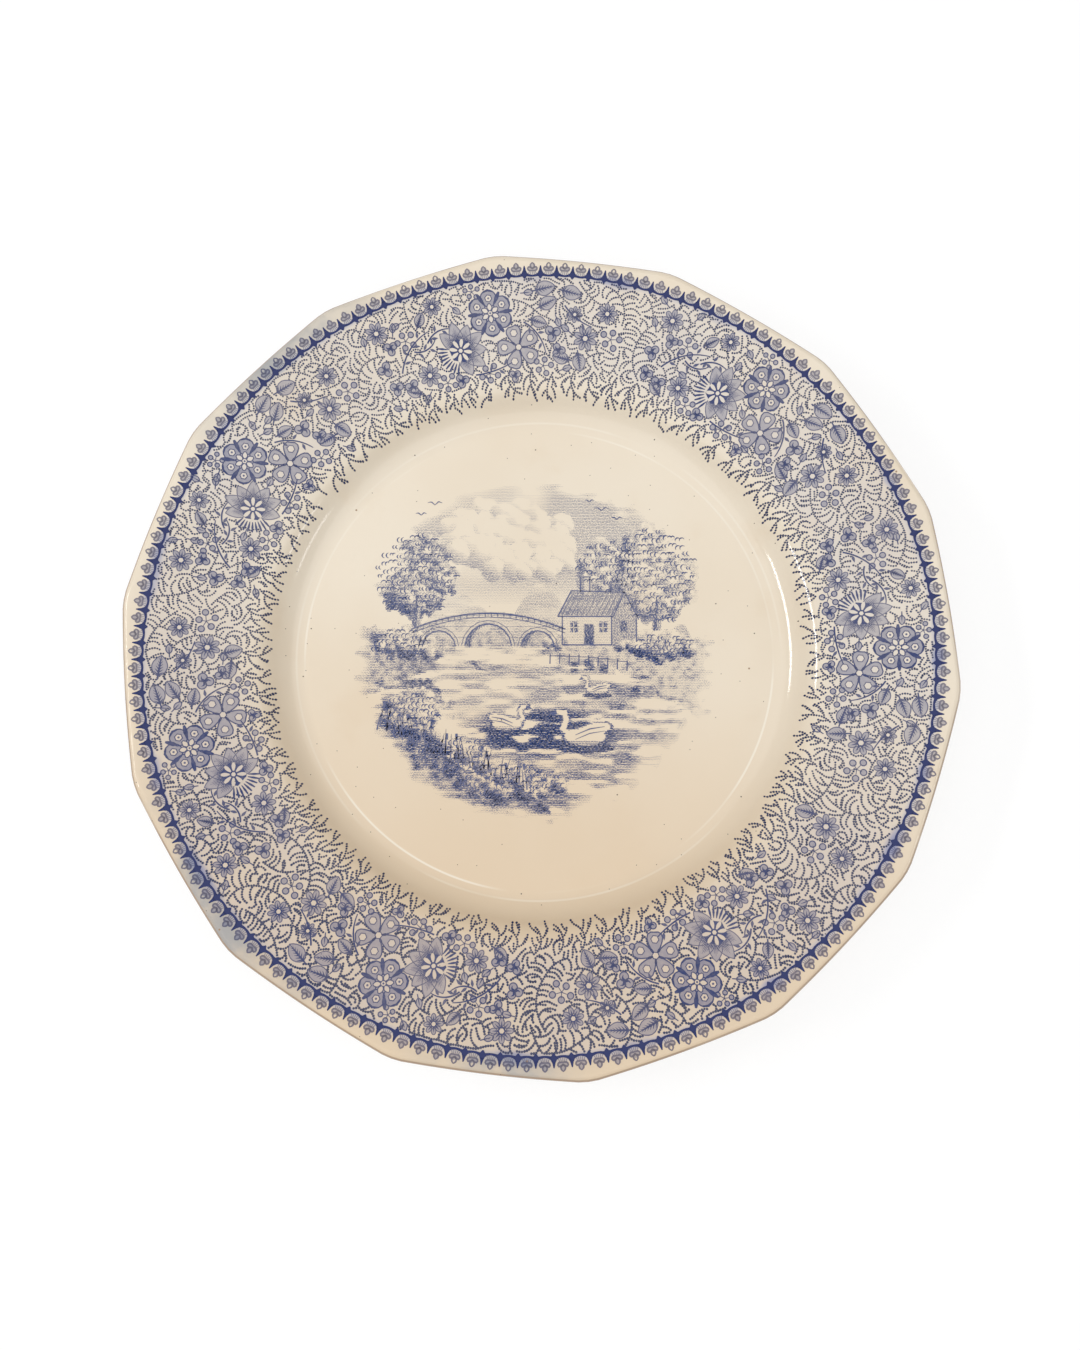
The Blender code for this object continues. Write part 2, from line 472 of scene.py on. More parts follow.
def rosette(place, turn, size):
    """Six round petals with an eye on each, dark bars between them and a ring of pale seeds."""
    block(place, size * 1.02)
    for a in ring_of(6, turn):
        middle = ray(place, a, 0, size * 1.28)[1]
        outlined(disc(middle, size * 0.36), 0.60, 0.95, 0.36)
        shape(fills, at_place(petal_outline(size * 0.7, size * 0.64, 0.6), place, a), 0.60)
        stroke(lines, at_place(BROW, middle, a, size * 0.35), (0.15, 0.75, 0.15), 1.0)
        dot(lines, *middle, size * 0.18, 0.92)
        dot(pale, *middle, size * 0.135, 0.02)
        dot(eyes, *middle, size * 0.05, 0.85)
        stroke(lines, ray(place, a, size * 0.08, size * 0.43), (0.7, 1.9, 1.8, 0.7), 0.92)
        stroke(pale, ray(place, a, size * 0.13, size * 0.39), (0.35, 1.30, 1.2, 0.3), 0.02)
    for a in ring_of(6, turn + math.pi / 6):
        stroke(lines, ray(place, a, size * 0.50, size * 1.0), (0.55, 1.35, 1.25, 0.6), 1.0)
    dot(lines, *place, size * 0.15, 0.92)
    dot(pale, *place, size * 0.10, 0.0)
    dot(eyes, *place, size * 0.045, 0.9)


# %% The pointed flower
def aster(place, turn, size):
    """A large flower seen from one side: pointed hatched petals, short rays behind, a seeded eye."""
    block(place, size * 0.62)
    for i in range(7):
        a = turn + (i - 3) * 0.60
        length = size * (1.0 if i % 2 else 0.92)
        block(ray(place, a, 0, length)[1], size * 0.30)
        outlined(at_place(pointed_outline(length, size * 0.47), place, a), 0.44, 0.80, 0.28)
        hatch_petal(place, a, length, size * 0.46, 0.95, 9)
    for i in range(9):
        a = turn + math.pi + (i - 4) * 0.19
        stroke(lines, ray(place, a, size * 0.46, size * 0.82), (0.20, 0.66, 0.40), 0.95)
        block(ray(place, a, size * 0.46, size * 0.82)[1], 0.6)
    dot(lines, *place, size * 0.42, 0.95)
    for a in ring_of(8, turn):
        stroke(pale, ray(place, a, size * 0.12, size * 0.40), (0.40, 1.0, 1.2, 0.6), 0.02)
    dot(pale, *place, size * 0.075, 0.0)


# %% The five-petalled flower and the blossom
def five_petal(place, turn, size):
    """Five heart-shaped petals with a pale spot each and dark bars at their roots."""
    block(place, size * 0.40)
    for a in ring_of(5, turn):
        block(ray(place, a, 0, size * 1.36)[1], size * 0.30)
        outlined(at_place(petal_outline(size, size * 0.66, 0.85, 0.06), place, a), 0.50, 0.90, 0.38)
        tip = ray(place, a, 0, size * 1.30)[1]
        dot(lines, *tip, size * 0.19, 0.85)
        dot(pale, *tip, size * 0.145, 0.03)
        stroke(lines, ray(place, a + math.pi / 5, size * 0.12, size * 0.42), (0.5, 0.8, 0.3), 1.0)
    dot(lines, *place, size * 0.17, 0.95)
    dot(pale, *place, size * 0.13, 0.03)


def blossom(place, turn, size):
    """A small flower of eight narrow petals with a pale eye."""
    block(place, size * 0.96)
    for a in ring_of(8, turn):
        middle = ray(place, a, 0, size * 1.36)[1]
        outlined(disc(middle, size * 0.33, 0.70, a), 0.52, 0.85, 0.26)
        stroke(lines, ray(place, a, size * 0.32, size * 0.80), (0.55, 0.30, 0.05), 0.92)
    dot(lines, *place, size * 0.38, 0.95)
    dot(pale, *place, size * 0.22, 0.02)


# %% Berries and trefoils
def berries(place, turn, size):
    """A cluster of round berries on short stalks."""
    for i, a in enumerate(ring_of(5, turn)):
        tip = ray(place, a, 0, size * (2.3 if i % 2 else 3.0))[1]
        block(tip, size * 0.72)
        outlined(disc(tip, size * 0.50), 0.54, 0.92, 0.34)
        stroke(lines, ray(place, a, 0, size * 0.9), (0.24, 0.20), 0.90)


def trefoil(place, turn, size):
    """Three folded round petals, dark on their inner sides."""
    block(place, size * 0.95)
    for a in ring_of(3, turn):
        tip = ray(place, a, 0, size)[1]
        outlined(disc(tip, size * 0.50), 0.54, 0.90, 0.34)
        fold = at_place([(0, 0), (size * 0.4, size * 0.20), (size * 0.7, size * 0.05)], place, a)
        stroke(lines, fold, (0.9, 0.55, 0.1), 0.95)


# %% Leaves, buds and sprays
def leaf(place, turn, length, width):
    """A pointed leaf from its stalk, dark at the stalk, with a rib and fine veins."""
    block(ray(place, turn, 0, length)[1], length * 0.38)
    outlined(at_place(pointed_outline(length, width), place, turn), 0.46, 0.86, 0.28)
    stroke(lines, ray(place, turn, -length * 0.18, length), (0.4, 0.6, 0.1), 0.92)
    for i in range(6):
        for hand in (1, -1):
            x = length * (0.06 + 0.13 * i)
            vein = [(x, 0), (x + length * 0.15, hand * width * (0.30 - 0.04 * i))]
            stroke(lines, at_place(vein, place, turn), (0.60 - 0.08 * i, 0.34 - 0.04 * i, 0.1), 0.90)


BUD_LENGTH = 3.0


def bud(place, turn):
    """A small leaf on a short stalk."""
    block(place, 1.1)
    outlined(at_place(pointed_outline(BUD_LENGTH, BUD_LENGTH * 0.62), place, turn), 0.48, 0.90, 0.30)
    stroke(lines, ray(place, turn, -1.2, BUD_LENGTH * 0.7), (0.30, 0.36, 0.1), 0.92)


def spray(place, turn, length, bendiness, leaves):
    """A dark curling stalk with small drop-shaped leaves on both sides."""
    along = np.linspace(0, length, 24)
    heading = turn + bendiness * along
    xs = np.cumsum(np.cos(heading)) * length / 24 + place[0]
    ys = np.cumsum(np.sin(heading)) * length / 24 + place[1]
    path = np.stack([xs, ys], 1)
    stroke(lines, path[:13], (0.50, 0.46), 0.95)
    stroke(lines, path[12:], (0.46, 0.28), 0.95)
    for point in path[::2]:
        block(point, 0.40)
    for i in range(leaves):
        k = int(4 + i * 18 / max(leaves, 1))
        side_turn = heading[k] + (0.9 if i % 2 else -0.9)
        drop = ray(path[k], side_turn, 0.5, 2.7)
        stroke(lines, drop, (0.15, 0.95, 0.65, 0.05), 0.88)
        block(drop[1], 0.7)


# %% Lay out the bunches
# Each row is a place, a turn and sizes. A place is in millimetres: clockwise along the rim from the
# rosette, and out from the axis. The bunches don't quite close the ring, so part of one more fills the gap.
BUNCHES = 7
BUNCH_FIRST = math.radians(6.1)
BUNCH_STEP = math.radians(49.2)
BORDER_MIDDLE = 104.5
JOIN_FROM = 27.0

BUNCH = {
    rosette: [(0.0, 111.6, 0.52, 7.3)],
    aster: [(-11.6, 101.8, 0.45, 9.2)],
    five_petal: [(8.0, 100.2, 0.6, 7.2)],
    blossom: [
        (35.8, 112.2, 0.2, 3.2), (30.2, 103.6, 0.5, 3.8), (-16.6, 117.2, 0.3, 2.9),
        (-34.6, 115.6, 0.1, 3.5), (-24.2, 97.2, 0.4, 3.5), (26.0, 110.6, 0.0, 2.5),
    ],
    berries: [
        (38.5, 104.6, 0.2, 1.9), (-19.0, 93.2, 0.7, 1.7), (16.5, 94.2, 0.1, 1.7),
        (-27.5, 109.8, 0.5, 1.8), (-3.2, 93.0, 0.9, 1.8), (-4.5, 119.0, 0.3, 1.4),
    ],
    trefoil: [
        (-32.6, 109.6, 0.3, 2.3), (-37.2, 104.4, 0.9, 2.5), (-36.6, 97.6, 0.2, 2.3), (-31.4, 96.0, 0.7, 2.4),
        (-13.6, 92.6, 0.1, 2.3), (19.4, 104.4, 0.4, 2.7), (21.6, 99.2, 0.0, 2.3), (6.0, 91.4, 0.5, 2.0),
    ],
    leaf: [
        (13.8, 117.6, 0.20, 6.6, 4.6), (21.6, 117.8, -0.20, 6.6, 4.6), (15.0, 112.4, 0.45, 6.2, 4.2),
        (28.4, 98.8, -1.3, 5.8, 4.2), (25.6, 96.4, 3.0, 5.6, 3.8), (-22.6, 112.6, 0.9, 4.8, 3.2),
        (12.4, 108.6, -0.3, 5.4, 3.6), (-29.4, 92.8, 2.6, 4.8, 3.2),
    ],
    spray: [
        (-33.0, 100.4, 1.05, 17.0, -0.055, 4), (-26.5, 106.0, -0.6, 9.0, 0.16, 4),
        (-21.5, 106.5, 0.9, 9.5, -0.13, 3), (9.6, 108.2, -0.5, 13.0, -0.07, 3),
        (22.4, 113.6, -0.9, 12.0, 0.05, 3), (-9.0, 93.4, -0.1, 14.0, 0.03, 4),
    ],
}


def bunch_place(bunch, along, radius):
    """A place in a bunch, and the turn that takes a heading of 0 clockwise along the rim there."""
    angle = BUNCH_FIRST + BUNCH_STEP * bunch - along / BORDER_MIDDLE
    return np.array([radius * math.cos(angle), radius * math.sin(angle)]), angle - math.pi / 2


for bunch in range(BUNCHES + 1):
    start = JOIN_FROM if bunch == BUNCHES else -math.inf
    for kind, places in BUNCH.items():
        for along, radius, spin, *sizes in places:
            if along > start:
                place, turn = bunch_place(bunch, along, radius)
                kind(place, turn + spin, *sizes)

BUD_ROOM = 1.5
BUD_TRIES = 700
draw = random.Random(14)
for _ in range(BUD_TRIES):
    place, turn = bunch_place(draw.randrange(BUNCHES), draw.uniform(-40, 30), draw.uniform(91, 120))
    spots = np.array(blockers)
    if (np.hypot(spots[:, 0] - place[0], spots[:, 1] - place[1]) > spots[:, 2] + BUD_ROOM).all():
        bud(place, draw.uniform(0, 2 * math.pi))
print("flower marks:", {kind: len(fills[kind]) + len(lines[kind]) for kind in fills})

# %% [markdown]
# ## The border: seaweed ground
# Between the flowers runs a ground of beaded sprigs that fork like seaweed and never cross. Each branch is
# grown dot by dot, and a dot is only set where no other branch or flower is near. A fringe of antlers grows
# first, along the well: its prongs leave a stem sideways and bow back inwards. Then come fronds, long ones
# before short ones, and at last every dot tries to put out a branch on each side, so the rim fills evenly.
# The dots are a little larger towards the near side, a painted shade that darkens the print there.

# %% Room for sprigs
BORDER_INNER = 84.4
GROUND_INNER = 89.0
BORDER_OUTER = 121.4
SPRIG_PITCH = 0.74
SPRIG_CLEARANCE = 1.16
CELL = 1.2

taken = {}


def cell_of(x, y):
    return int(x // CELL), int(y // CELL)


def take(x, y, clearance, owner, order):
    taken.setdefault(cell_of(x, y), []).append((x, y, clearance * clearance, owner, order))


def is_free(x, y, owner, order, parent, inner):
    """Whether a dot may be set. A branch may touch its own last dots, and its parent while it is short."""
    if not inner**2 < x * x + y * y < BORDER_OUTER**2:
        return False
    column, row = cell_of(x, y)
    for i in (column - 1, column, column + 1):
        for j in (row - 1, row, row + 1):
            for px, py, room, other, step in taken.get((i, j), ()):
                if (px - x) ** 2 + (py - y) ** 2 < room:
                    own = other == owner and step > order - 3
                    stem = other == parent and order < 3
                    if not (own or stem):
                        return False
    return True


BLOCK_SPACING = 0.7
BLOCK_ROOM = 0.60
for x, y, radius in blockers:
    inner = max(radius - 0.3, 0.2)
    rings = max(int(inner / BLOCK_SPACING), 1)
    for r in np.linspace(0, inner, rings + 1):
        for a in ring_of(max(int(2 * math.pi * r / BLOCK_SPACING), 1)):
            take(x + r * math.cos(a), y + r * math.sin(a), BLOCK_ROOM, -1, 0)
print("cells that the flowers take:", len(taken))

# %% Branches and fronds
sprigs = new_sheet()
twigs = []
sprig_count = 0
LEAST_DOTS = 3
DOT_SIZE = 0.33
WAVER = 0.07
# Painted shade: how much larger the dots grow towards the near side
NEAR_SHADE_GROWTH = 0.25
STRAIGHT = (0.0,)
SWERVES = (0.0, 0.25, -0.25, 0.50)


def walk(x, y, heading, length, curve, parent=None, swerves=SWERVES, inner=GROUND_INNER):
    """The dots that a branch could set from a place. It may swerve round things until it is shut in."""
    path = []
    for order in range(int(length / SPRIG_PITCH)):
        heading += curve * SPRIG_PITCH + draw.uniform(-WAVER, WAVER)
        for swerve in swerves:
            ahead = heading + (swerve if curve > 0 else -swerve)
            next_x, next_y = x + SPRIG_PITCH * math.cos(ahead), y + SPRIG_PITCH * math.sin(ahead)
            if is_free(next_x, next_y, sprig_count, order, parent, inner):
                break
        else:
            break
        x, y, heading = next_x, next_y, ahead
        path.append((x, y, heading))
    return path


def set_branch(path, size=DOT_SIZE, room=SPRIG_CLEARANCE, near_shade_growth=NEAR_SHADE_GROWTH):
    """Sets the dots of a branch. Returns its number, or None if it is too short to be worth it."""
    global sprig_count
    if len(path) < LEAST_DOTS:
        return None
    for order, (x, y, heading) in enumerate(path):
        take(x, y, room, sprig_count, order)
        # Painted shade: dots grow larger towards the near side, darkening the print there
        grown = 1 + near_shade_growth * max(-y, 0) / BORDER_OUTER
        dot(sprigs, x, y, size * grown * draw.uniform(0.9, 1.1), 0.96 + draw.uniform(-0.04, 0.04))
        twigs.append((x, y, heading, sprig_count))
    sprig_count += 1
    return sprig_count - 1


ARM_GAP = 4
ARM_SPREAD = 0.70
ARM_DROOP = 0.30


def frond(stem, arm):
    """A stem with bowed arms, shorter towards its tip, that leave it on both sides in turn."""
    number = set_branch(stem)
    if number is None:
        return
    for k in range(2, len(stem)):
        hand = {0: 1, ARM_GAP // 2: -1}.get(k % ARM_GAP)
        if hand:
            x, y, heading = stem[k]
            reach = arm * (1.2 - 0.6 * k / len(stem)) * draw.uniform(0.85, 1.15)
            turn = hand * ARM_SPREAD * draw.uniform(0.9, 1.1)
            bow = hand * ARM_DROOP * draw.uniform(0.7, 1.3)
            set_branch(walk(x, y, heading + turn, reach, bow, number))


# %% Grow the fringe
FRINGE = 170
FRINGE_DOT = 0.36
FRINGE_ROOM = 1.08
FRINGE_REACH = 83.5
FRINGE_BOW = 0.20
PRONG_TURN = 1.2
PRONG_BOW = 0.28
FRINGE_STARTS = (94.0, 92.6, 91.2, 89.8, 88.6)
PRONGS = ((1, 1, 5.8), (3, -1, 5.4), (5, 1, 4.8), (7, -1, 4.2), (9, 1, 3.2))


def fringe_walk(x, y, heading, length, curve, parent=None):
    return walk(x, y, heading, length, curve, parent, STRAIGHT, BORDER_INNER + draw.uniform(-0.4, 1.6))


for i in range(FRINGE):
    angle = 2 * math.pi * (i + draw.uniform(-0.15, 0.15)) / FRINGE
    lean = (1 if i % 2 else -1) * draw.uniform(0.6, 1.2)
    for radius in FRINGE_STARTS:
        place = radius * math.cos(angle), radius * math.sin(angle)
        stem = fringe_walk(*place, angle + math.pi + lean, radius - FRINGE_REACH, -lean * FRINGE_BOW)
        number = set_branch(stem, FRINGE_DOT, FRINGE_ROOM, 0.0)
        if number is not None:
            break
    for order, hand, length in PRONGS:
        if number is not None and order < len(stem):
            x, y, heading = stem[order]
            hand = hand if lean < 0 else -hand
            prong = fringe_walk(x, y, heading + hand * PRONG_TURN, length, -hand * PRONG_BOW, number)
            set_branch(prong, FRINGE_DOT, FRINGE_ROOM, 0.0)
for x, y, heading, number in draw.sample(twigs, len(twigs)):
    turn = draw.choice((-1, 1)) * draw.uniform(0.7, 1.2)
    prong = fringe_walk(x, y, math.atan2(-y, -x) + turn, draw.uniform(3.0, 4.6), -turn * PRONG_BOW, number)
    set_branch(prong, FRINGE_DOT, FRINGE_ROOM, 0.0)
print("fringe dots:", len(twigs))

# %% Grow the ground
FRONDS = ((26, 7.0, 400), (16, 6.5, 800), (10, 5.5, 1500), (6, 4.5, 2500))
FROND_LEAST = 0.6
for length, arm, tries in FRONDS:
    for _ in range(tries):
        angle = draw.uniform(0, 2 * math.pi)
        radius = math.sqrt(draw.uniform(GROUND_INNER**2, BORDER_OUTER**2))
        place = radius * math.cos(angle), radius * math.sin(angle)
        heading = draw.uniform(0, 2 * math.pi)
        bow = draw.choice((-1, 1)) * draw.uniform(0.05, 0.14)
        stem = walk(*place, heading, length, bow)
        if len(stem) * SPRIG_PITCH > length * FROND_LEAST:
            frond(stem, arm)

for least in (7, 5, 4, 3):
    for x, y, heading, number in draw.sample(twigs, len(twigs)):
        for hand in (1, -1):
            turn, bow = hand * draw.uniform(0.6, 0.9), hand * draw.uniform(0.18, 0.40)
            path = walk(x, y, heading + turn, draw.uniform(5.0, 7.5), bow, number)
            if len(path) >= least:
                set_branch(path)
print("sprigs:", sprig_count, "dots:", len(sprigs["dots"]))

# %% [markdown]
# ## The edging
# Just inside the lip runs a dark scalloped line. Every scallop is a small bowl that holds a fan and a
# three-lobed palmette, and the cusps between the bowls carry a star. It is a stock edging of printed ware.
# One repeat is drawn and then set round the rim.

# %% Draw the edging
EDGE_REPEATS = 148
EDGE_RADIUS = 123.1
edge_dark = new_sheet()
edge_light = new_sheet()


def edge_point(repeat, along, out):
    """A place in a repeat of the edging: along from -0.5 to 0.5 of its width, out in millimetres."""
    angle = 2 * math.pi * (repeat + along) / EDGE_REPEATS
    return ((EDGE_RADIUS + out) * math.cos(angle), (EDGE_RADIUS + out) * math.sin(angle))


def edge_line(repeat, places, widths, tone):
    stroke(edge_dark, [edge_point(repeat, along, out) for along, out in places], widths, tone)


BOWL = [(-0.5 + i / 12, -0.95 * math.sin(math.pi * i / 12) ** 0.7) for i in range(13)]
SIDE_LOBE = [(0, 0.7), (0.20, 0.7), (0.31, 1.2), (0.25, 1.8), (0.10, 1.7), (0, 1.1)]
TOP_LOBE = [(0, 1.3), (0.13, 1.9), (0.11, 2.6), (0, 3.2)]
for n in range(EDGE_REPEATS):
    edge_line(n, BOWL, (1.30, 0.80, 0.60, 0.80, 1.30), 1.0)
    edge_line(n, [(0.5, -1.8), (0.5, -0.5), (0.5, 0.6)], (0.3, 2.2, 1.2), 1.0)
    edge_line(n, [(0.30, -0.95), (0.5, -0.45), (0.70, -0.95)], (0.3, 1.2, 0.3), 1.0)
    edge_line(n, [(0.5, 0.4), (0.5, 1.1), (0.5, 2.2)], (1.15, 0.75, 0.30), 1.0)
    for along in (-0.26, -0.13, 0.0, 0.13, 0.26):
        edge_line(n, [(along, -0.75 + abs(along)), (along * 0.6, 0.7)], (0.16, 0.24), 0.60)
    for hand in (-1, 1):
        place = edge_point(n, hand * 0.16, 1.25)
        shape(edge_light, disc(place, 0.90, 0.95), 0.50)
        edge_line(n, [(hand * along, out) for along, out in SIDE_LOBE], (0.40, 0.54, 0.54, 0.40), 0.72)
        edge_line(n, [(hand * along, out) for along, out in TOP_LOBE], (0.40, 0.54, 0.50, 0.30), 0.72)
    place = edge_point(n, 0, 2.15)
    shape(edge_light, disc(place, 1.10, 0.60, math.atan2(place[1], place[0])), 0.50)
print("edging marks:", len(edge_dark["strokes"]))

# %% [markdown]
# ## The centre: a river landscape
# The well carries a picture in the manner of printed ware: a stone bridge, a cottage, trees and a river
# under clouds. An engraver builds such a picture from dots and dashes, small where it is light and large
# where it is dark. So it is first painted as a sheet of tones, with formulas, from the far to the near,
# and made paler in its far part. Every small square of that sheet is then struck as one dash, and crisp
# lines go on top.

# %% Canvas and brushes
CANVAS_HALF = 60.0
CANVAS_STEP = 0.25
canvas_span = np.arange(-CANVAS_HALF, CANVAS_HALF, CANVAS_STEP)
PX, PY = np.meshgrid(canvas_span, canvas_span)
canvas = np.zeros_like(PX)
slant = np.zeros_like(PX)
chance = np.random.default_rng(7)


def smooth(low, high, value):
    """A soft step from 0 to 1."""
    t = np.clip((value - low) / (high - low), 0, 1)
    return t * t * (3 - 2 * t)


def mottle(size, octaves=3, stretch=1.0):
    """Random soft blotches between 0 and 1, of about this size in millimetres."""
    total = np.zeros_like(PX)
    for octave in range(octaves):
        step = size / 2**octave
        count = int(2 * CANVAS_HALF / step) + 3
        lattice = chance.random((count, count))
        u, v = (PX + CANVAS_HALF) / (step * stretch), (PY + CANVAS_HALF) / step
        i, j = u.astype(int), v.astype(int)
        fu, fv = smooth(0, 1, u - i), smooth(0, 1, v - j)
        low = lattice[j, i] * (1 - fu) + lattice[j, i + 1] * fu
        high = lattice[j + 1, i] * (1 - fu) + lattice[j + 1, i + 1] * fu
        total += (low * (1 - fv) + high * fv) / 2**octave
    return total / (2 - 2.0 ** (1 - octaves))


def paint(mask, tone, heading=0.0):
    """Covers part of the canvas with a tone, a number or a whole sheet, and sets how its dashes lie."""
    canvas[mask] = np.broadcast_to(tone, PX.shape)[mask]
    slant[mask] = heading


def inside_of(corners):
    """The part of the canvas inside a convex outline whose corners run counter-clockwise."""
    mask = np.ones_like(PX, bool)
    for (x0, y0), (x1, y1) in zip(corners, corners[1:] + corners[:1]):
        mask &= (x1 - x0) * (PY - y0) - (y1 - y0) * (PX - x0) >= 0
    return mask


LEAFY = mottle(1.5, 2)
STREAKS = mottle(1.6, 2, stretch=5.0)
ROUGH = mottle(5.0, 4)


def billows(places, light, dark, edge, heading=0.0, texture=0.0, shadow=(0.1, 0.9)):
    """Overlapping round heaps, lit from the upper right, painted from the first to the last."""
    for x, y, radius in places:
        away = np.hypot(PX - x, PY - y) / radius + edge * (ROUGH - 0.5) + texture * (LEAFY - 0.5)
        shade = 0.5 - 0.62 * ((PX - x) * 0.55 + (PY - y) * 0.83) / radius
        tone = light + (dark - light) * smooth(*shadow, shade) + texture * (LEAFY - 0.5) * 0.9
        paint(away < 1, np.clip(tone, 0, 1), heading)


GOLDEN_ANGLE = math.pi * (3 - math.sqrt(5))


def heaps(x, y, width, height, count, size):
    """Places for heaps, spread evenly over an oval, the upper ones first."""
    places = []
    for n in range(count):
        a = n * GOLDEN_ANGLE
        r = math.sqrt((n + 0.5) / count)
        grown = size * chance.uniform(0.75, 1.3)
        places.append((x + width * r * math.cos(a), y + height * r * math.sin(a), grown))
    return sorted(places, key=lambda place: -place[1])


def nearest(x, y, start, end):
    """The place on the line between two ends that is nearest to each point, and its share of the way."""
    run_x, run_y = end[0] - start[0], end[1] - start[1]
    share = np.clip(((x - start[0]) * run_x + (y - start[1]) * run_y) / (run_x**2 + run_y**2), 0, 1)
    return start[0] + share * run_x, start[1] + share * run_y, share


def limb(start, end, thick, thin):
    """A trunk or a bough that tapers from its start to its end, lit from the right."""
    near_x, near_y, share = nearest(PX, PY, start, end)
    width = thick + (thin - thick) * share
    wood = np.hypot(PX - near_x, PY - near_y) < width / 2
    heading = math.atan2(end[1] - start[1], end[0] - start[0])
    paint(wood, 0.85, heading)
    paint(wood & (PX > near_x + width * 0.1), 0.45, heading)


def bush(*oval, light=0.12, dark=0.92):
    """Heaps of leaves over an oval."""
    billows(heaps(*oval), light, dark, 0.5, 0.4, 0.85)


def tree(x, foot, crown_y, width, height, count, clump, light=0.20, dark=1.0):
    """A trunk that forks into boughs, with a crown of leaf clumps over it."""
    fork_y = crown_y - height * 0.75
    limb((x, foot), (x + 0.6, fork_y), 3.4, 2.4)
    for spread in (-0.75, -0.3, 0.3, 0.75):
        limb((x + 0.6, fork_y - 1), (x + spread * width, crown_y - height * 0.1), 1.7, 0.5)
    billows(heaps(x, crown_y, width, height, count, clump), light, dark, 0.5, 0.6, 0.85, (-0.1, 0.7))
    limb((x + 0.2, foot), (x + 0.7, fork_y + 1.5), 2.8, 1.6)

def say(part):
    """Prints how dark the canvas has become."""
    print(f"{part}: mean tone {canvas.mean():.3f}")


say("blank canvas")

# %% Paint the far part
sky = 0.40 * smooth(12, 30, PY) * smooth(0.34, 0.60, mottle(22, 3, stretch=1.8))
paint(PY > 4, np.clip(sky, 0, 0.34), 0.0)
billows(heaps(-9, 38, 21, 9.0, 34, 4.6), 0.0, 0.46, 1.0, texture=0.12, shadow=(0.18, 1.0))
billows(heaps(-2, 28.5, 15, 3.0, 16, 3.2), 0.0, 0.46, 1.0, texture=0.12, shadow=(0.18, 1.0))
for height, reach, middle, tone in ((19, 13, -24, 0.15), (22, 11, 2, 0.19), (12, 26, -8, 0.27)):
    hill = height * np.exp(-(((PX - middle) / reach) ** 2)) + 4 * (ROUGH - 0.5)
    paint((PY < hill) & (PY > 1), tone + 0.4 * (STREAKS - 0.5), 1.0)
far_trees = 5.0 + 2.2 * np.sin(PX * 0.31) + 5 * (mottle(4.0, 2) - 0.4)
paint((PY < far_trees) & (PY > 1), np.clip(0.30 + 0.6 * (LEAFY - 0.4), 0, 1), 0.5)
say("far part")

# %% Paint the bridge and the left bank
WATER_LINE = 1.0
BRIDGE_MIDDLE = -15.0
ARCHES = [(-15.0, 7.6), (-31.0, 5.4), (1.0, 5.4)]


def deck_height(x):
    """Top of the bridge, which rises to its middle."""
    return 12.5 - 0.0085 * (x - BRIDGE_MIDDLE) ** 2


deck = deck_height(PX)
bridge = (PY < deck) & (PY > WATER_LINE) & (np.abs(PX - BRIDGE_MIDDLE) < 25)
courses = 0.18 * (np.sin(PY * 3.4) > 0.75) + 0.14 * (ROUGH > 0.54)
for x, radius in ARCHES:
    opening = np.hypot(PX - x, (PY - WATER_LINE) * 0.95) < radius
    soffit = opening & (np.hypot(PX - x - 1.6, (PY - WATER_LINE) * 0.95) > radius)
    bridge &= ~opening
    paint(soffit & (PY > WATER_LINE), 0.80, 1.2)
paint(bridge, 0.14 + courses, 0.0)
paint(bridge & (PY > deck - 1.1), 0.42, 0.0)
bank_top = 4.5 + 3.5 * np.sin(PX * 0.16 + 0.8) + 3 * (ROUGH - 0.5)
bank_foot = -7 + 0.45 * (PX + 38) + 5 * (STREAKS - 0.5)
left_bank = (PX < -36 + 6 * ROUGH) & (PY < bank_top) & (PY > bank_foot)
paint(left_bank, np.clip(0.34 + 0.8 * (LEAFY - 0.4), 0, 1), 0.3)
tree(-39, -1, 25, 10.5, 12, 60, 3.3)
bush(-44, 3, 8, 4, 14, 2.8)
bush(-35, 0.5, 4, 2, 6, 2.2)
say("bridge and left bank")

# %% Paint the cottage and the right bank
HOUSE = 9.0
shore = WATER_LINE - 2.5 - 0.0085 * (PX - 4) ** 2 + 3.5 * (STREAKS - 0.5)
right_bank = (PX > 3 + 5 * ROUGH) & (PY < 3.5 + 3 * ROUGH) & (PY > shore)
paint(right_bank, 0.12 + 0.9 * np.clip(LEAFY - 0.44, 0, 1), 0.2)
tree(24, 6, 27, 9, 8, 34, 3.4, 0.12, 0.62)
tree(39, -1, 25, 11, 14, 70, 3.6, 0.08, 0.72)
house_walls = [(0, 2), (16, 2), (16, 12), (0, 12)]
house_gable = [(16, 2), (24, 3), (24, 11), (20, 19), (16, 12)]
house_roof = [(-1.5, 11.4), (16.6, 11.4), (20.4, 19.4), (3, 20)]
house_chimney = [(6, 18.5), (9, 18.5), (9, 24.5), (6, 24.5)]
house_holes = [(2.5, 6, 2.4, 3.4), (12, 6, 2.4, 3.4), (6.8, 2, 3.0, 6.6), (18.6, 6.1, 2.0, 3.4)]


def at_house(corners):
    return [(x + HOUSE, y) for x, y in corners]


paint(inside_of(at_house(house_walls)), 0.06 + 0.14 * ROUGH, 0.0)
paint(inside_of(at_house(house_gable)), 0.46 + 0.3 * (ROUGH - 0.5), 1.4)
paint(inside_of(at_house(house_roof)), 0.56 + 0.5 * (STREAKS - 0.5), 1.05)
paint(inside_of(at_house(house_chimney)), 0.22 + 0.45 * (PX < HOUSE + 7), 0.0)
for x, y, wide, tall in house_holes:
    corners = [(x, y), (x + wide, y), (x + wide, y + tall), (x, y + tall)]
    paint(inside_of(at_house(corners)), 0.90, 1.5)
bush(41, 1.5, 9, 3.5, 16, 2.8)
bush(7, 2.6, 3, 1.5, 5, 2.0)
bush(31, 1.5, 4, 1.2, 6, 1.9)
say("cottage and right bank")

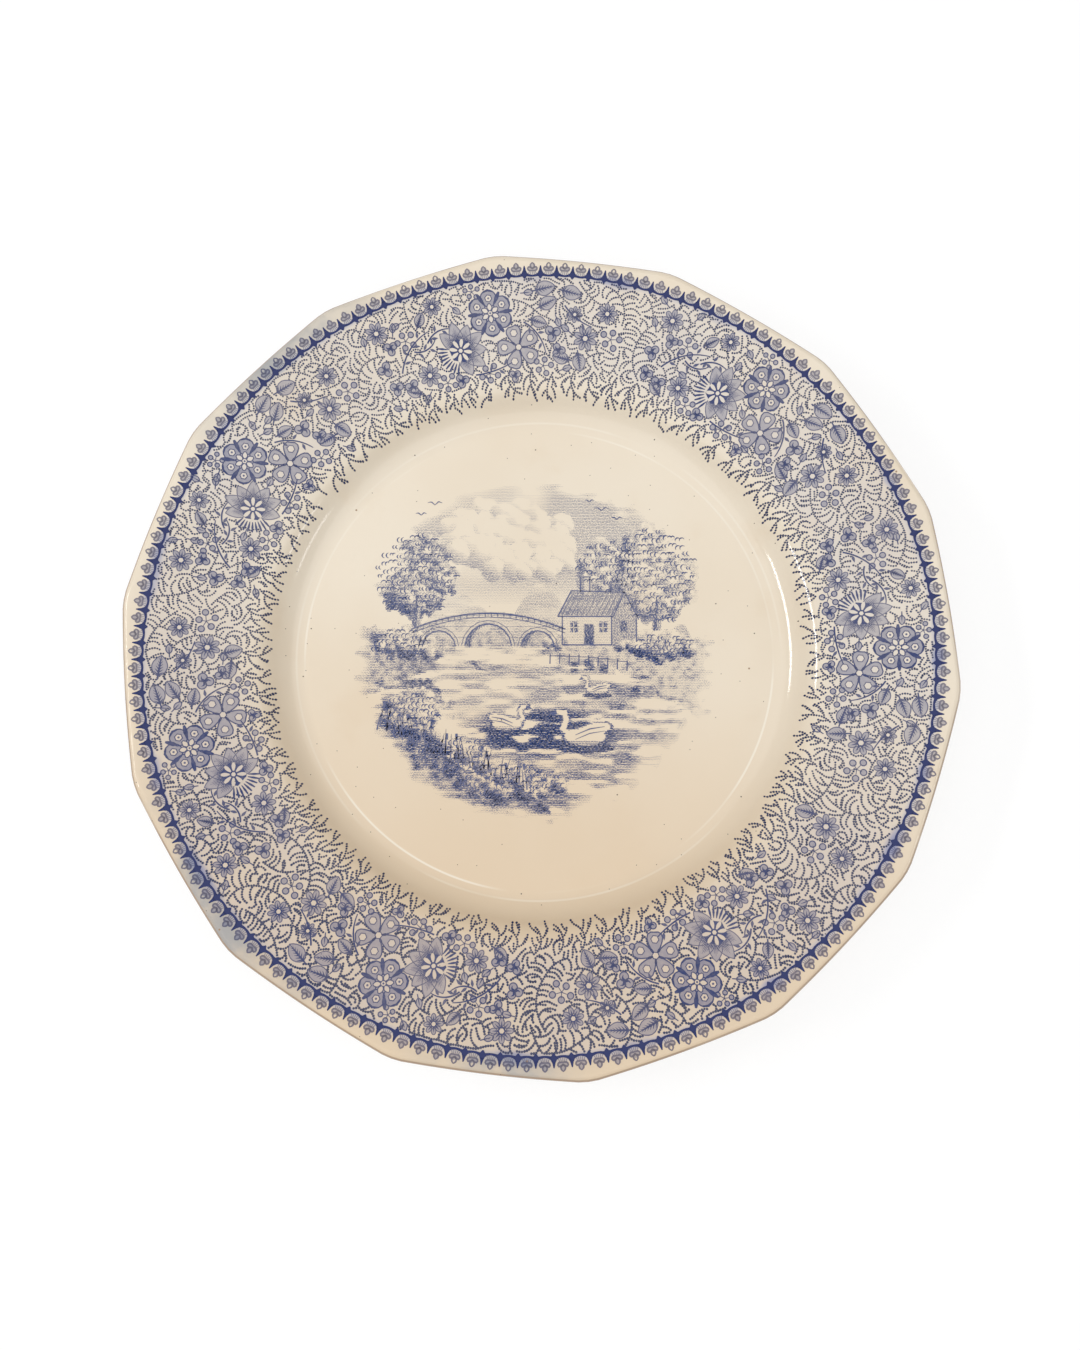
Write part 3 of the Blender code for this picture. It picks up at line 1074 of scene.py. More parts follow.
# %% Paint the water and the near bank
mirrored = np.array([np.interp(2 * WATER_LINE - canvas_span, canvas_span, column) for column in canvas.T]).T
water = (PY < WATER_LINE) & ~left_bank & ~right_bank & (canvas < 0.02)
ripple = 0.26 * smooth(0.50, 0.66, STREAKS) + 0.34 * smooth(-14, -42, PY) * smooth(0.40, 0.52, STREAKS)
calm = mirrored * 0.72 * smooth(0.34, 0.50, STREAKS) * smooth(-42, -4, PY)
paint(water, np.clip(ripple + calm, 0, 0.8), 0.0)
near_shore = -33 - 0.0042 * (PX + 60) ** 2 + 4 * (ROUGH - 0.5) + 13 * np.exp(-(((PX + 44) / 12) ** 2))
near_bank = (PY < near_shore) & (PX < 8 - 6 * ROUGH)
paint(near_bank, np.clip(0.60 + 1.1 * (LEAFY - 0.4), 0, 1), 0.3)
bush(-40, -21, 8, 6, 26, 3.0, light=0.16, dark=1.0)
bush(-6, -42.5, 17, 4.5, 34, 2.6, light=0.20, dark=1.0)
STONES = [
    (-29, -31, 3.4), (-23, -34, 3.0), (-17, -37.5, 2.8), (-33, -27.5, 3.0), (-11, -41, 2.4), (-5, -43, 2.0),
]
billows(STONES, 0.04, 0.92, 0.25)
SWANS = [(-9.0, -24.0, 1.3, 1), (16.0, -28.0, 1.8, -1), (20.0, -13.0, 0.9, -1)]
NECK = [(2.6, 0.3), (4.0, 1.4), (3.3, 2.9), (3.7, 4.3), (4.9, 4.4)]
shade = 0.85 * smooth(0.34, 0.46, STREAKS) * (1 - smooth(0.5, 1.0, np.hypot((PX - 4) / 34, (PY + 27) / 11)))
paint(water & (shade > canvas) & ~near_bank, shade)
for x, y, size, hand in SWANS:
    u, v = hand * (PX - x) / size, (PY - y) / size
    bends = [nearest(u, v, *ends) for ends in zip(NECK, NECK[1:])]
    neck_away = np.min([np.hypot(u - near_x, v - near_y) for near_x, near_y, _ in bends], axis=0)
    body = np.minimum(np.hypot(u / 3.7, v / 1.6), np.hypot((u + 1.4) / 3.2, (v - 0.9 + 0.2 * u) / 1.2))
    paint(np.hypot(u / 5.2, (v + 2.0) / 1.1) < 1, 0.85)
    paint((body < 1.12) | (neck_away < 0.80), 0.80)
    paint((body < 1) | (neck_away < 0.50), 0.02 + 0.34 * (v < -0.7))
say("water and near bank")

# %% Fade the picture out
PICTURE_RADIUS = 56.0
FAR_PALER = 0.24
away = np.hypot(PX, (PY - 1.5) * 1.03) / PICTURE_RADIUS + 0.16 * (mottle(11, 3) - 0.5)
canvas *= 1 - smooth(0.93, 1.03, away + 0.12 * (STREAKS - 0.5))
canvas *= 1 - FAR_PALER * smooth(-6, 10, PY)
say("faded picture")

# %% Strike the dashes
PICTURE_TURN = math.radians(6.3)
PICTURE_PLACE = (-1.5, 1.0)
DASH_PITCH = 0.52
LIGHTEST = 0.035
CONTRAST = 1.12
DOT_AREA = 2.6
DASH_LONG = 1.35
DASH_WIDE = 1.25 / 1.35
JITTER = 0.09
picture = new_sheet()

rows = np.arange(-CANVAS_HALF + 2, CANVAS_HALF - 2, DASH_PITCH)
for row, y in enumerate(rows):
    for x in rows + (row % 2) * DASH_PITCH / 2:
        i, j = int((x + CANVAS_HALF) / CANVAS_STEP), int((y + CANVAS_HALF) / CANVAS_STEP)
        tone = canvas[j - 1 : j + 1, i - 1 : i + 1].mean() * CONTRAST
        if tone > LIGHTEST:
            size = DASH_PITCH * math.sqrt(tone / DOT_AREA)
            struck = (x + chance.uniform(-JITTER, JITTER), y + chance.uniform(-JITTER, JITTER))
            spot = at_place([struck], PICTURE_PLACE, PICTURE_TURN)[0]
            lie = slant[j, i] + PICTURE_TURN
            dash(picture, *spot, size * DASH_LONG, size * DASH_WIDE, lie, 0.66 + 0.34 * tone)
print("dashes:", len(picture["dots"]))

# %% Crisp lines on the bridge and the cottage
picture_lines = new_sheet()


def pen(points, *widths, tone=0.92):
    """A crisp line on the picture, from points in the picture's own frame."""
    stroke(picture_lines, at_place(points, PICTURE_PLACE, PICTURE_TURN), widths, tone)


def arc(x, y, radius, start, end, squash=1.0):
    turns = np.radians(np.linspace(start, end, 16))
    return np.stack([x + radius * np.cos(turns), y + radius * squash * np.sin(turns)], 1)


for x, radius in ARCHES:
    pen(arc(x, WATER_LINE, radius, 5, 175, 1.05), 0.45, 0.45)
    pen(arc(x, WATER_LINE, radius + 1.1, 5, 175, 1.05), 0.2, 0.2)
deck_x = np.linspace(-25, 25, 20) + BRIDGE_MIDDLE
pen(np.stack([deck_x, deck_height(deck_x)], 1), 0.5, 0.5)
pen(np.stack([deck_x, deck_height(deck_x) - 1.3], 1), 0.25, 0.25)
for x in np.arange(-38, 9, 2.0):
    pen([(x, deck_height(x) - 0.1), (x, deck_height(x) - 1.2)], 0.2, 0.2)
HOUSE_EDGES = [
    [(-1.5, 11.4), (16.6, 11.4)], [(3, 20), (20.4, 19.4)], [(-1.5, 11.4), (3, 20)],
    [(16.6, 11.4), (20.2, 19.6)], [(0, 2), (0, 11.4)], [(16, 2), (16, 11.4)], [(24, 3), (24, 11)],
    [(20.3, 19.5), (24.8, 10.4)], [(6, 19.5), (6, 24.5)], [(9, 19.5), (9, 24.5)],
    [(5.6, 24.6), (9.4, 24.6)], [(0, 2), (16, 2)],
]
for line in HOUSE_EDGES:
    pen(at_house(line), 0.40, 0.40)
for x in np.arange(0.5, 17.0, 1.6):
    pen(at_house([(x - 0.6, 11.8), (x + 1.4, 15.6), (x + 3.2, 19.4)]), 0.34, 0.16, tone=0.78)
for x, y, wide, tall in house_holes[:2]:
    pen(at_house([(x + wide / 2, y), (x + wide / 2, y + tall)]), 0.25, 0.25, tone=0.0)
    pen(at_house([(x, y + tall / 2), (x + wide, y + tall / 2)]), 0.25, 0.25, tone=0.0)
for n in range(9):
    x = 5 + n * 3.1
    foot = -2.6 - 0.036 * n * n
    pen([(x, foot - 1.6), (x + 0.1, foot + 1.8)], 0.40, 0.30)
    pen([(x, foot + 1.0), (x + 3.1, foot + 0.95)], 0.22, 0.22)
print("lines so far:", len(picture_lines["strokes"]))

# %% Crisp lines on swans, leaves, birds and reeds
BEAK = [(4.9, 4.45), (5.5, 4.3), (6.3, 4.0)]
WING = [(-3.6, 1.9), (-1.0, 1.5), (1.6, 0.4)]
for x, y, size, hand in SWANS:
    flip = np.array([hand * size, size])
    pen(np.array(BEAK) * flip + (x, y), 0.8 * size, 0.6 * size, 0.1)
    pen(np.array(WING) * flip + (x, y), 0.15, 0.40, 0.15)
    pen(np.array(WING) * flip + (x, y - 0.8 * size), 0.12, 0.30, 0.12)
LEAFAGE = [
    (-39, 25, 13, 14, 90), (39, 25, 13, 16, 100), (24, 28, 10, 9, 40), (-44, 2, 9, 5, 30), (41, 1, 10, 4, 30),
    (-40, -21, 9, 7, 40), (-8, -42, 17, 5, 50), (-26, -34, 12, 6, 40),
]
for x, y, wide, tall, count in LEAFAGE:
    for n in range(count):
        r, a = math.sqrt((n + 0.5) / count), n * GOLDEN_ANGLE
        place = (x + wide * r * math.cos(a), y + tall * r * math.sin(a))
        size, start = chance.uniform(0.5, 1.0), chance.uniform(0, 120)
        pen(arc(*place, size, start, start + 170), 0.10, 0.42, 0.10, tone=0.95)
        pen(arc(place[0] + 1.6 * size, place[1], size, start, start + 170), 0.10, 0.42, 0.10, tone=0.95)
BIRDS = [(-33, 49, 1.2), (-37.5, 45.5, 0.9), (22, 47, 1.2), (27, 44, 0.9), (18, 50, 0.8)]
for x, y, size in BIRDS:
    pen([(x - 2 * size, y + 0.7 * size), (x - size, y + 0.9 * size), (x, y)], 0.1, 0.4, 0.2)
    pen([(x, y), (x + size, y + 1.0 * size), (x + 2 * size, y + 0.6 * size)], 0.2, 0.4, 0.1)
for n in range(46):
    x = -50 + n * 1.05 + chance.uniform(-0.6, 0.6)
    y = -24 - 0.42 * (x + 50) + chance.uniform(-2.5, 0.5)
    tall, lean = chance.uniform(4, 9), chance.uniform(-1.6, 2.2)
    pen([(x, y), (x + lean * 0.3, y + tall * 0.5), (x + lean, y + tall)], 0.5, 0.35, 0.08, tone=0.85)
    if n % 5 == 0:
        pen([(x + lean, y + tall), (x + lean * 1.15, y + tall + 2.0)], 0.75, 0.75, tone=0.9)
print("crisp lines:", len(picture_lines["strokes"]))

# %% [markdown]
# ## Camera
# The photograph looks almost straight down, from a little below the plate's middle and close enough for
# the near rim to look larger. The camera's place and turn were worked out from the fourteen corners, in
# millimetres from the centre of the rim.

# %% Set the camera
CAMERA_PLACE = (10.3, -64.6, 343.8)
CAMERA_TURN = (-9.1, -1.43, -6.25)
FOCAL_PIXELS = 1137.8
PHOTO_HEIGHT = 1350
SENSOR = 36.0

camera = bpy.data.objects.new("camera", bpy.data.cameras.new("camera"))
bpy.context.scene.collection.objects.link(camera)
camera.data.sensor_width = SENSOR
camera.data.lens = FOCAL_PIXELS * SENSOR / PHOTO_HEIGHT
camera.data.clip_start = 0.01
turn = Euler([math.radians(a) for a in CAMERA_TURN], "XYZ").to_matrix().transposed()
place = Vector(CAMERA_PLACE) * MM + Vector((0, 0, rim_height))
camera.matrix_world = Matrix.Translation(place) @ turn.to_4x4()
bpy.context.scene.camera = camera
print("camera at", [round(v, 4) for v in place], "lens", round(camera.data.lens, 2))

# %% [markdown]
# ## The old cream glaze
# Old glaze is never one colour. It is warm cream with soft blotches, a peach stain where food stood, a few
# kiln specks, blue that bled along the edging, grey smears near the lip and a thin brown line where the lip
# has worn. Painted light goes into the same colour: a painted shade darkens the near side towards peach, and
# pale rings round the well are painted highlights. The inked marks need the very same cream under them, so
# all of this is one node group that every glossy material shares. It reads Object coordinates, which are
# the plate's own frame, and the turned radius kept on each mesh.

# %% A helper for node trees
def new_group(name, inputs, outputs):
    """A shader node group with float or colour sockets. Returns the group and its two end nodes."""
    group = bpy.data.node_groups.new(name, "ShaderNodeTree")
    for in_out, sockets in (("INPUT", inputs), ("OUTPUT", outputs)):
        for socket_name, kind in sockets.items():
            group.interface.new_socket(socket_name, in_out=in_out, socket_type=f"NodeSocket{kind}")
    return group, group.nodes.new("NodeGroupInput"), group.nodes.new("NodeGroupOutput")


class Tree:
    """Short ways to add the nodes that the finishes use."""

    def __init__(self, node_tree):
        self.nodes = node_tree.nodes
        self.links = node_tree.links
        self.place = None
        self.parts = None

    def axis(self, name):
        """One Object coordinate, in metres."""
        if self.parts is None:
            self.parts = self.nodes.new("ShaderNodeSeparateXYZ")
            self.links.new(self.object_place(), self.parts.inputs[0])
        return self.parts.outputs[name]

    def flat_radius(self):
        """Distance from the plate's axis, in millimetres."""
        squares = [self.times(self.axis(name), self.axis(name)) for name in "XY"]
        return self.times(self.math("SQRT", self.math("ADD", *squares)), 1 / MM)

    def feed(self, socket, value):
        if isinstance(value, bpy.types.NodeSocket):
            self.links.new(value, socket)
        else:
            socket.default_value = value

    def object_place(self):
        if self.place is None:
            self.place = self.nodes.new("ShaderNodeTexCoord").outputs["Object"]
        return self.place

    def math(self, operation, first, second=0.0, clamp=False):
        node = self.nodes.new("ShaderNodeMath")
        node.operation = operation
        node.use_clamp = clamp
        self.feed(node.inputs[0], first)
        self.feed(node.inputs[1], second)
        return node.outputs[0]

    def times(self, first, second, clamp=False):
        return self.math("MULTIPLY", first, second, clamp)

    def away(self, value, middle):
        """How far a value lies from a middle one."""
        return self.math("ABSOLUTE", self.math("SUBTRACT", value, middle))

    def moved(self, shift):
        """The Object coordinates, shifted so that two noises don't repeat each other."""
        move = self.nodes.new("ShaderNodeVectorMath")
        self.links.new(self.object_place(), move.inputs[0])
        move.inputs[1].default_value = shift
        return move.outputs[0]

    def noise(self, scale, detail=2.0, shift=0.0):
        node = self.nodes.new("ShaderNodeTexNoise")
        self.links.new(self.moved((shift, shift * 0.7, -shift * 0.4)), node.inputs["Vector"])
        node.inputs["Scale"].default_value = scale
        node.inputs["Detail"].default_value = detail
        return node.outputs["Fac"]

    def step(self, value, low, high, out_low=0.0, out_high=1.0):
        node = self.nodes.new("ShaderNodeMapRange")
        node.interpolation_type = "SMOOTHSTEP"
        limits = {"From Min": low, "From Max": high, "To Min": out_low, "To Max": out_high}
        for name, number in limits.items():
            node.inputs[name].default_value = number
        self.feed(node.inputs["Value"], value)
        return node.outputs["Result"]

    def cloud(self, scale, detail, shift, low, high, out_low=0.0, out_high=1.0):
        """Noise with more contrast: out_low where it is under low, out_high where it is over high."""
        return self.step(self.noise(scale, detail, shift), low, high, out_low, out_high)

    def mix(self, share, first, second):
        node = self.nodes.new("ShaderNodeMix")
        node.data_type = "RGBA"
        self.feed(node.inputs["Factor"], share)
        self.feed(node.inputs["A"], first)
        self.feed(node.inputs["B"], second)
        return node.outputs["Result"]

    def near(self, point, radius):
        """1 at a point of the plate, falling to 0 at a radius from it."""
        node = self.nodes.new("ShaderNodeVectorMath")
        node.operation = "DISTANCE"
        self.links.new(self.object_place(), node.inputs[0])
        node.inputs[1].default_value = point
        return self.step(node.outputs["Value"], 0.0, radius, 1.0, 0.0)

    def specks(self, spacing, size, share, shift):
        """Small spots in some of the cells of a scattered grid."""
        node = self.nodes.new("ShaderNodeTexVoronoi")
        node.voronoi_dimensions = "2D"
        self.links.new(self.moved((shift, -shift, 0)), node.inputs["Vector"])
        node.inputs["Scale"].default_value = 1 / spacing
        part = self.nodes.new("ShaderNodeSeparateColor")
        self.links.new(node.outputs["Color"], part.inputs[0])
        spot = self.step(node.outputs["Distance"], size * 0.6 / spacing, size / spacing, 1.0, 0.0)
        return self.times(spot, self.math("LESS_THAN", part.outputs[0], share))


def color(red, green, blue):
    return (red, green, blue, 1.0)


# %% Cream group
CREAM = color(0.815, 0.705, 0.555)
CREAM_PALE = color(0.850, 0.755, 0.615)
# peach for the stain and the blotches, and for the painted shade on the near side
PEACH = color(0.750, 0.595, 0.420)
SMEAR = color(0.300, 0.330, 0.370)
HALO = color(0.230, 0.300, 0.560)
FLOW = color(0.100, 0.150, 0.400)
WORN = color(0.360, 0.240, 0.150)
SPECK = color(0.075, 0.060, 0.050)
# pale colour of the painted highlight rings round the well
RING_HIGHLIGHT_TINT = color(0.920, 0.850, 0.730)
LIP_LINE = CORNER_RADIUS / MM - 0.55
LINE_RADIUS = 122.5
SHOULDER_PLACE = 91.0
FRONT = (13.4, 14.8)
STAIN = ((0.010, -0.062, 0.007), 0.095)
# radii and strengths of the painted highlight rings
RING_HIGHLIGHTS = ((75.6, 0.75), (78.2, 0.40))
SMEARS = (
    ((-0.096, 0.088, 0.025), 0.050),
    ((-0.090, -0.095, 0.025), 0.060),
    ((0.004, -0.124, 0.025), 0.034),
)
SPECKS = (
    (0.0070, 0.00017, 0.20, 0.11, SPECK),
    (0.0130, 0.00026, 0.10, 0.53, SPECK),
    (0.0190, 0.00038, 0.08, 0.37, WORN),
)

cream_sockets = {"Color": "Color", "Height": "Float"}
cream_group, cream_in, cream_out = new_group("aged_cream", {"Radius": "Float"}, cream_sockets)
aged = Tree(cream_group)
radius_mm = cream_in.outputs["Radius"]
flat_mm = aged.flat_radius()

# Blotches, the stain of old meals on the near side, and a painted shade that darkens the near side further
# towards peach
tint = aged.mix(aged.cloud(14, 3, 0.0, 0.35, 0.65), CREAM, CREAM_PALE)
stain = aged.times(aged.near(*STAIN), aged.noise(30, 4, 0.3))
tint = aged.mix(aged.times(stain, 1.3), tint, PEACH)
# Painted shade: the near side is darkened and warmed towards peach
tint = aged.mix(aged.step(aged.axis("Y"), -0.110, 0.030, 0.95, 0.0), tint, PEACH)
tint = aged.mix(aged.cloud(42, 5, 0.9, 0.56, 0.75, 0.0, 0.30), tint, PEACH)

# Painted highlights: pale rings round the floor of the well, where its raised ring would catch the light
for ring_radius, ring_share in RING_HIGHLIGHTS:
    gaps = aged.cloud(16, 2, ring_radius, 0.40, 0.60, 0.0, ring_share)
    ring = aged.times(aged.step(aged.away(flat_mm, ring_radius), 0.1, 0.5, 1.0, 0.0), gaps)
    tint = aged.mix(ring, tint, RING_HIGHLIGHT_TINT)

# Blue that bled into the glaze round the print, on the face but not on the back
face_rise = aged.times(aged.math("SUBTRACT", flat_mm, SHOULDER_PLACE), math.tan(RIM_SLOPE))
above_rim = aged.math("SUBTRACT", aged.times(aged.axis("Z"), 1 / MM), face_rise)
on_front = aged.step(above_rim, *FRONT)
border_zone = aged.times(aged.step(flat_mm, 86, 98), aged.step(flat_mm, 121, 124, 1.0, 0.0))
bleed = aged.times(border_zone, aged.cloud(34, 3, 1.7, 0.3, 0.7, 0.10, 0.20))
from_line = aged.away(flat_mm, LINE_RADIUS)
halo = aged.times(aged.step(from_line, 0.4, 1.8, 0.65, 0.0), aged.noise(52, 3, 1.1))
flow = aged.times(aged.step(from_line, 0.8, 3.0, 1.0, 0.0), aged.cloud(55, 3, 8.0, 0.54, 0.72, 0.0, 0.6))
for share, blue in ((bleed, HALO), (halo, HALO), (flow, FLOW)):
    tint = aged.mix(aged.times(share, on_front), tint, blue)

# Grey smears near the lip, the lip's worn line and kiln specks
smear = 0.0
for smear_place, smear_reach in SMEARS:
    smear = aged.math("ADD", aged.near(smear_place, smear_reach), smear, clamp=True)
smear = aged.times(smear, aged.step(radius_mm, 121.5, 126.5))
smear = aged.times(smear, aged.cloud(60, 4, 2.3, 0.36, 0.62, 0.15, 0.80))
tint = aged.mix(smear, tint, SMEAR)
worn_line = aged.step(aged.away(radius_mm, LIP_LINE), 0.15, 0.60, 0.95, 0.0)
tint = aged.mix(aged.times(worn_line, aged.cloud(26, 3, 3.1, 0.24, 0.46)), tint, WORN)
for spacing, size, share, shift, dark in SPECKS:
    tint = aged.mix(aged.specks(spacing, size, share, shift), tint, dark)

ripples = aged.math("ADD", aged.noise(48, 2, 4.0), aged.times(aged.noise(420, 2, 5.0), 0.10))
aged.links.new(tint, cream_out.inputs["Color"])
aged.links.new(ripples, cream_out.inputs["Height"])
print("cream group nodes:", len(cream_group.nodes))

# %% [markdown]
# ## Glaze and ink materials
# The ink lies under the glaze, so ink and bare glaze have the same gloss and the same faint ripple: a
# reflection runs over both without a break. Only the colour differs. Each mark carries a tone from 0, which
# is bare cream, to 1, which is full ink, and uneven printing thins the ink here and there.

# %% Make the materials
GLOSS = {
    "Roughness": 0.10, "IOR": 1.5, "Specular IOR Level": 0.40, "Coat Weight": 0.10, "Coat Roughness": 0.03,
}
RIPPLE_DEPTH = 0.35 * MM
INK_GAIN = 1.04


def new_material(name, settings):
    """A material with numbers set on its shader. Returns it, its tree and the shader."""
    material = bpy.data.materials.new(name)
    material.use_nodes = True
    tools = Tree(material.node_tree)
    shader = tools.nodes["Principled BSDF"]
    for socket, number in settings.items():
        shader.inputs[socket].default_value = number
    return material, tools, shader


def roughen(tools, shader, height, strength, distance):
    """Bumps a shader's surface by a height."""
    bump = tools.nodes.new("ShaderNodeBump")
    bump.inputs["Strength"].default_value = strength
    bump.inputs["Distance"].default_value = distance
    tools.links.new(height, bump.inputs["Height"])
    tools.links.new(bump.outputs["Normal"], shader.inputs["Normal"])


def own_value(tools, name):
    """A number that the mesh itself carries."""
    node = tools.nodes.new("ShaderNodeAttribute")
    node.attribute_name = name
    return node.outputs["Fac"]


def glazed(name):
    """A glossy material with the cream group in place. Returns it, its tree, its shader and the cream."""
    material, tools, shader = new_material(name, GLOSS)
    cream = tools.nodes.new("ShaderNodeGroup")
    cream.node_tree = cream_group
    tools.links.new(own_value(tools, "turned_radius"), cream.inputs["Radius"])
    roughen(tools, shader, cream.outputs["Height"], 0.35, RIPPLE_DEPTH)
    return material, tools, shader, cream.outputs["Color"]


def cream_glaze():
    material, tools, shader, cream = glazed("cream_glaze")
    tools.links.new(cream, shader.inputs["Base Color"])
    return material


def printed_ink(name, ink, thin):
    """Ink of one colour. Thin says how much of it is lost where the print took badly."""
    material, tools, shader, cream = glazed(name)
    full = tools.times(own_value(tools, "tone"), INK_GAIN, clamp=True)
    uneven = tools.cloud(38, 4, 6.0, 0.38, 0.66, 1.0 - thin, 1.0)
    fine = tools.cloud(900, 2, 7.0, 0.30, 0.60, 1.0 - thin, 1.0)
    strength = tools.times(full, tools.times(uneven, fine))
    tools.links.new(tools.mix(strength, cream, ink), shader.inputs["Base Color"])
    return material


BUFF = color(0.66, 0.54, 0.40)
BUFF_PALE = color(0.74, 0.64, 0.50)
GRAIN = color(0.36, 0.29, 0.22)
GRIME = color(0.25, 0.22, 0.19)
GRAIN_DEPTH = 0.1 * MM


def bare_clay():
    """Unglazed fired clay: buff, grainy and greyed where the foot has slid on shelves."""
    material, tools, shader = new_material("bare_clay", {"Roughness": 0.85})
    tint = tools.mix(tools.cloud(90, 4, 0.0, 0.35, 0.65), BUFF, BUFF_PALE)
    tint = tools.mix(tools.cloud(1500, 2, 1.0, 0.55, 0.75, 0.0, 0.6), tint, GRAIN)
    grime = tools.times(tools.step(tools.axis("Z"), 0.0, 0.0009, 0.75, 0.0), tools.noise(160, 3, 2.0))
    tools.links.new(tools.mix(grime, tint, GRIME), shader.inputs["Base Color"])
    roughen(tools, shader, tools.noise(2200, 3, 3.0), 0.5, GRAIN_DEPTH)
    return material


glaze_finish = cream_glaze()
clay_finish = bare_clay()
petal_finish = printed_ink("petal_blue", color(0.016, 0.050, 0.212), 0.14)
border_finish = printed_ink("border_blue", color(0.012, 0.030, 0.142), 0.06)
sprig_finish = printed_ink("sprig_blue", color(0.016, 0.027, 0.092), 0.05)
edge_finish = printed_ink("edge_cobalt", color(0.004, 0.015, 0.115), 0.0)
centre_finish = printed_ink("centre_blue", color(0.016, 0.050, 0.200), 0.10)
print("materials:", [material.name for material in bpy.data.materials])

# %% [markdown]
# ## Clay, glaze and films
# The body is turned first, with the foot ring that the plate stands on. Its resting face was wiped bare
# before firing. The glaze is a skin over the face, the lip and the back, and a separate disc lies inside
# the foot. The printed films lie just over the glaze, in layers a few hundredths of a millimetre apart.

# %% Turn the clay and the glaze
BODY_DEPTH = GLAZE + LAYER_GAP
FOOT_EDGE_ROUND = 0.5 * MM


def foot_section():
    """The foot ring from its outer root to its inner root, with rounded lower edges."""
    half_face = FOOT_FACE / 2
    half_root = half_face + FOOT_FLARE
    under = FOOT_HEIGHT + BODY_DEPTH
    turns = [math.radians(a) for a in (0, 22, 45, 67, 90)]
    outer = []
    for t in turns:
        across = half_face - FOOT_EDGE_ROUND * (1 - math.cos(t))
        outer.append((FOOT_RADIUS + across, FOOT_EDGE_ROUND * (1 - math.sin(t))))
    inner = [(2 * FOOT_RADIUS - r, z) for r, z in outer[::-1]]
    roots = [(FOOT_RADIUS + half_root, under), (FOOT_RADIUS - half_root, under)]
    return roots[:1] + outer + inner + roots[1:] + [(0.0, under)]


clay_mesh = turned("clay_fine", skin(BODY_DEPTH) + foot_section())
new_piece("clay_fine", clay_mesh, clay_finish, "root", "clay", "clay_body")

FOOT_EDGE = FOOT_RADIUS + FOOT_FACE / 2 + FOOT_FLARE + FOOT_CLEARANCE
glaze_end = [(FOOT_EDGE, FOOT_HEIGHT), (FOOT_EDGE, FOOT_HEIGHT + GLAZE)]
glaze_mesh = turned("glaze_skin", skin(0.0) + glaze_end + skin(GLAZE)[::-1])
new_piece("glaze_skin", glaze_mesh, glaze_finish, "root", "glaze", "glaze_coat")

TURNING_MARK = 0.03 * MM
disc_radii = np.linspace(0, RECESS_RADIUS, 48)
disc_low = [(r, FOOT_HEIGHT + TURNING_MARK * (1 + math.sin(r / MM * 1.3))) for r in disc_radii[::-1]]
disc_high = [(0.0, FOOT_HEIGHT + GLAZE), (RECESS_RADIUS, FOOT_HEIGHT + GLAZE)]
recess_mesh = turned("recess_disc", disc_high + disc_low)
new_piece("recess_disc", recess_mesh, glaze_finish, "root", "glaze", "recess_glaze")

# %% Lay the films
LIFT = 0.04 * MM
for name, sheet, level, finish, slot, cad in (
    ("border_fills", fills, 1, petal_finish, "border_ink", ("border_print",)),
    ("border_lines", lines, 2, border_finish, "border_ink", ()),
    ("border_spots", pale, 3, border_finish, "border_ink", ()),
    ("border_eyes", eyes, 4, border_finish, "border_ink", ()),
    ("border_sprigs", sprigs, 1, sprig_finish, "border_ink", ()),
    ("edging_lobes", edge_light, 1, petal_finish, "edge_ink", ("edge_print",)),
    ("edging_lines", edge_dark, 2, edge_finish, "edge_ink", ()),
    ("centre_dashes", picture, 1, centre_finish, "centre_ink", ("centre_print",)),
    ("centre_lines", picture_lines, 2, centre_finish, "centre_ink", ()),
):
    new_piece(name, lay(name, sheet, level * LIFT), finish, "root", slot, *cad)

# %% [markdown]
# ## Floor and light
# The plate lies on white paper that shows a soft shadow. Where the camera sees the paper, most of it is
# plain white light, so the background is white without more light on the plate. A wide soft lamp hangs
# overhead. A narrow one on the left draws the bright lines on the shoulder and the side of the well to
# the right, which face it, and a small one on the right answers it.

# %% White paper
floor_mesh = bpy.data.meshes.new("floor")
paper_shape = bmesh.new()
bmesh.ops.create_grid(paper_shape, x_segments=1, y_segments=1, size=3.0)
paper_shape.to_mesh(floor_mesh)
paper_shape.free()
floor = bpy.data.objects.new("floor", floor_mesh)
bpy.context.scene.collection.objects.link(floor)

SHADOW_KEPT = 0.30
PAPER_WHITE = 1.06


def seen_directly(tools):
    """1 for rays that come from the camera, straight or by way of gloss or glass."""
    path = tools.nodes.new("ShaderNodeLightPath")
    gloss = tools.math("ADD", path.outputs["Is Glossy Ray"], path.outputs["Is Transmission Ray"])
    return tools.math("ADD", path.outputs["Is Camera Ray"], gloss, clamp=True)


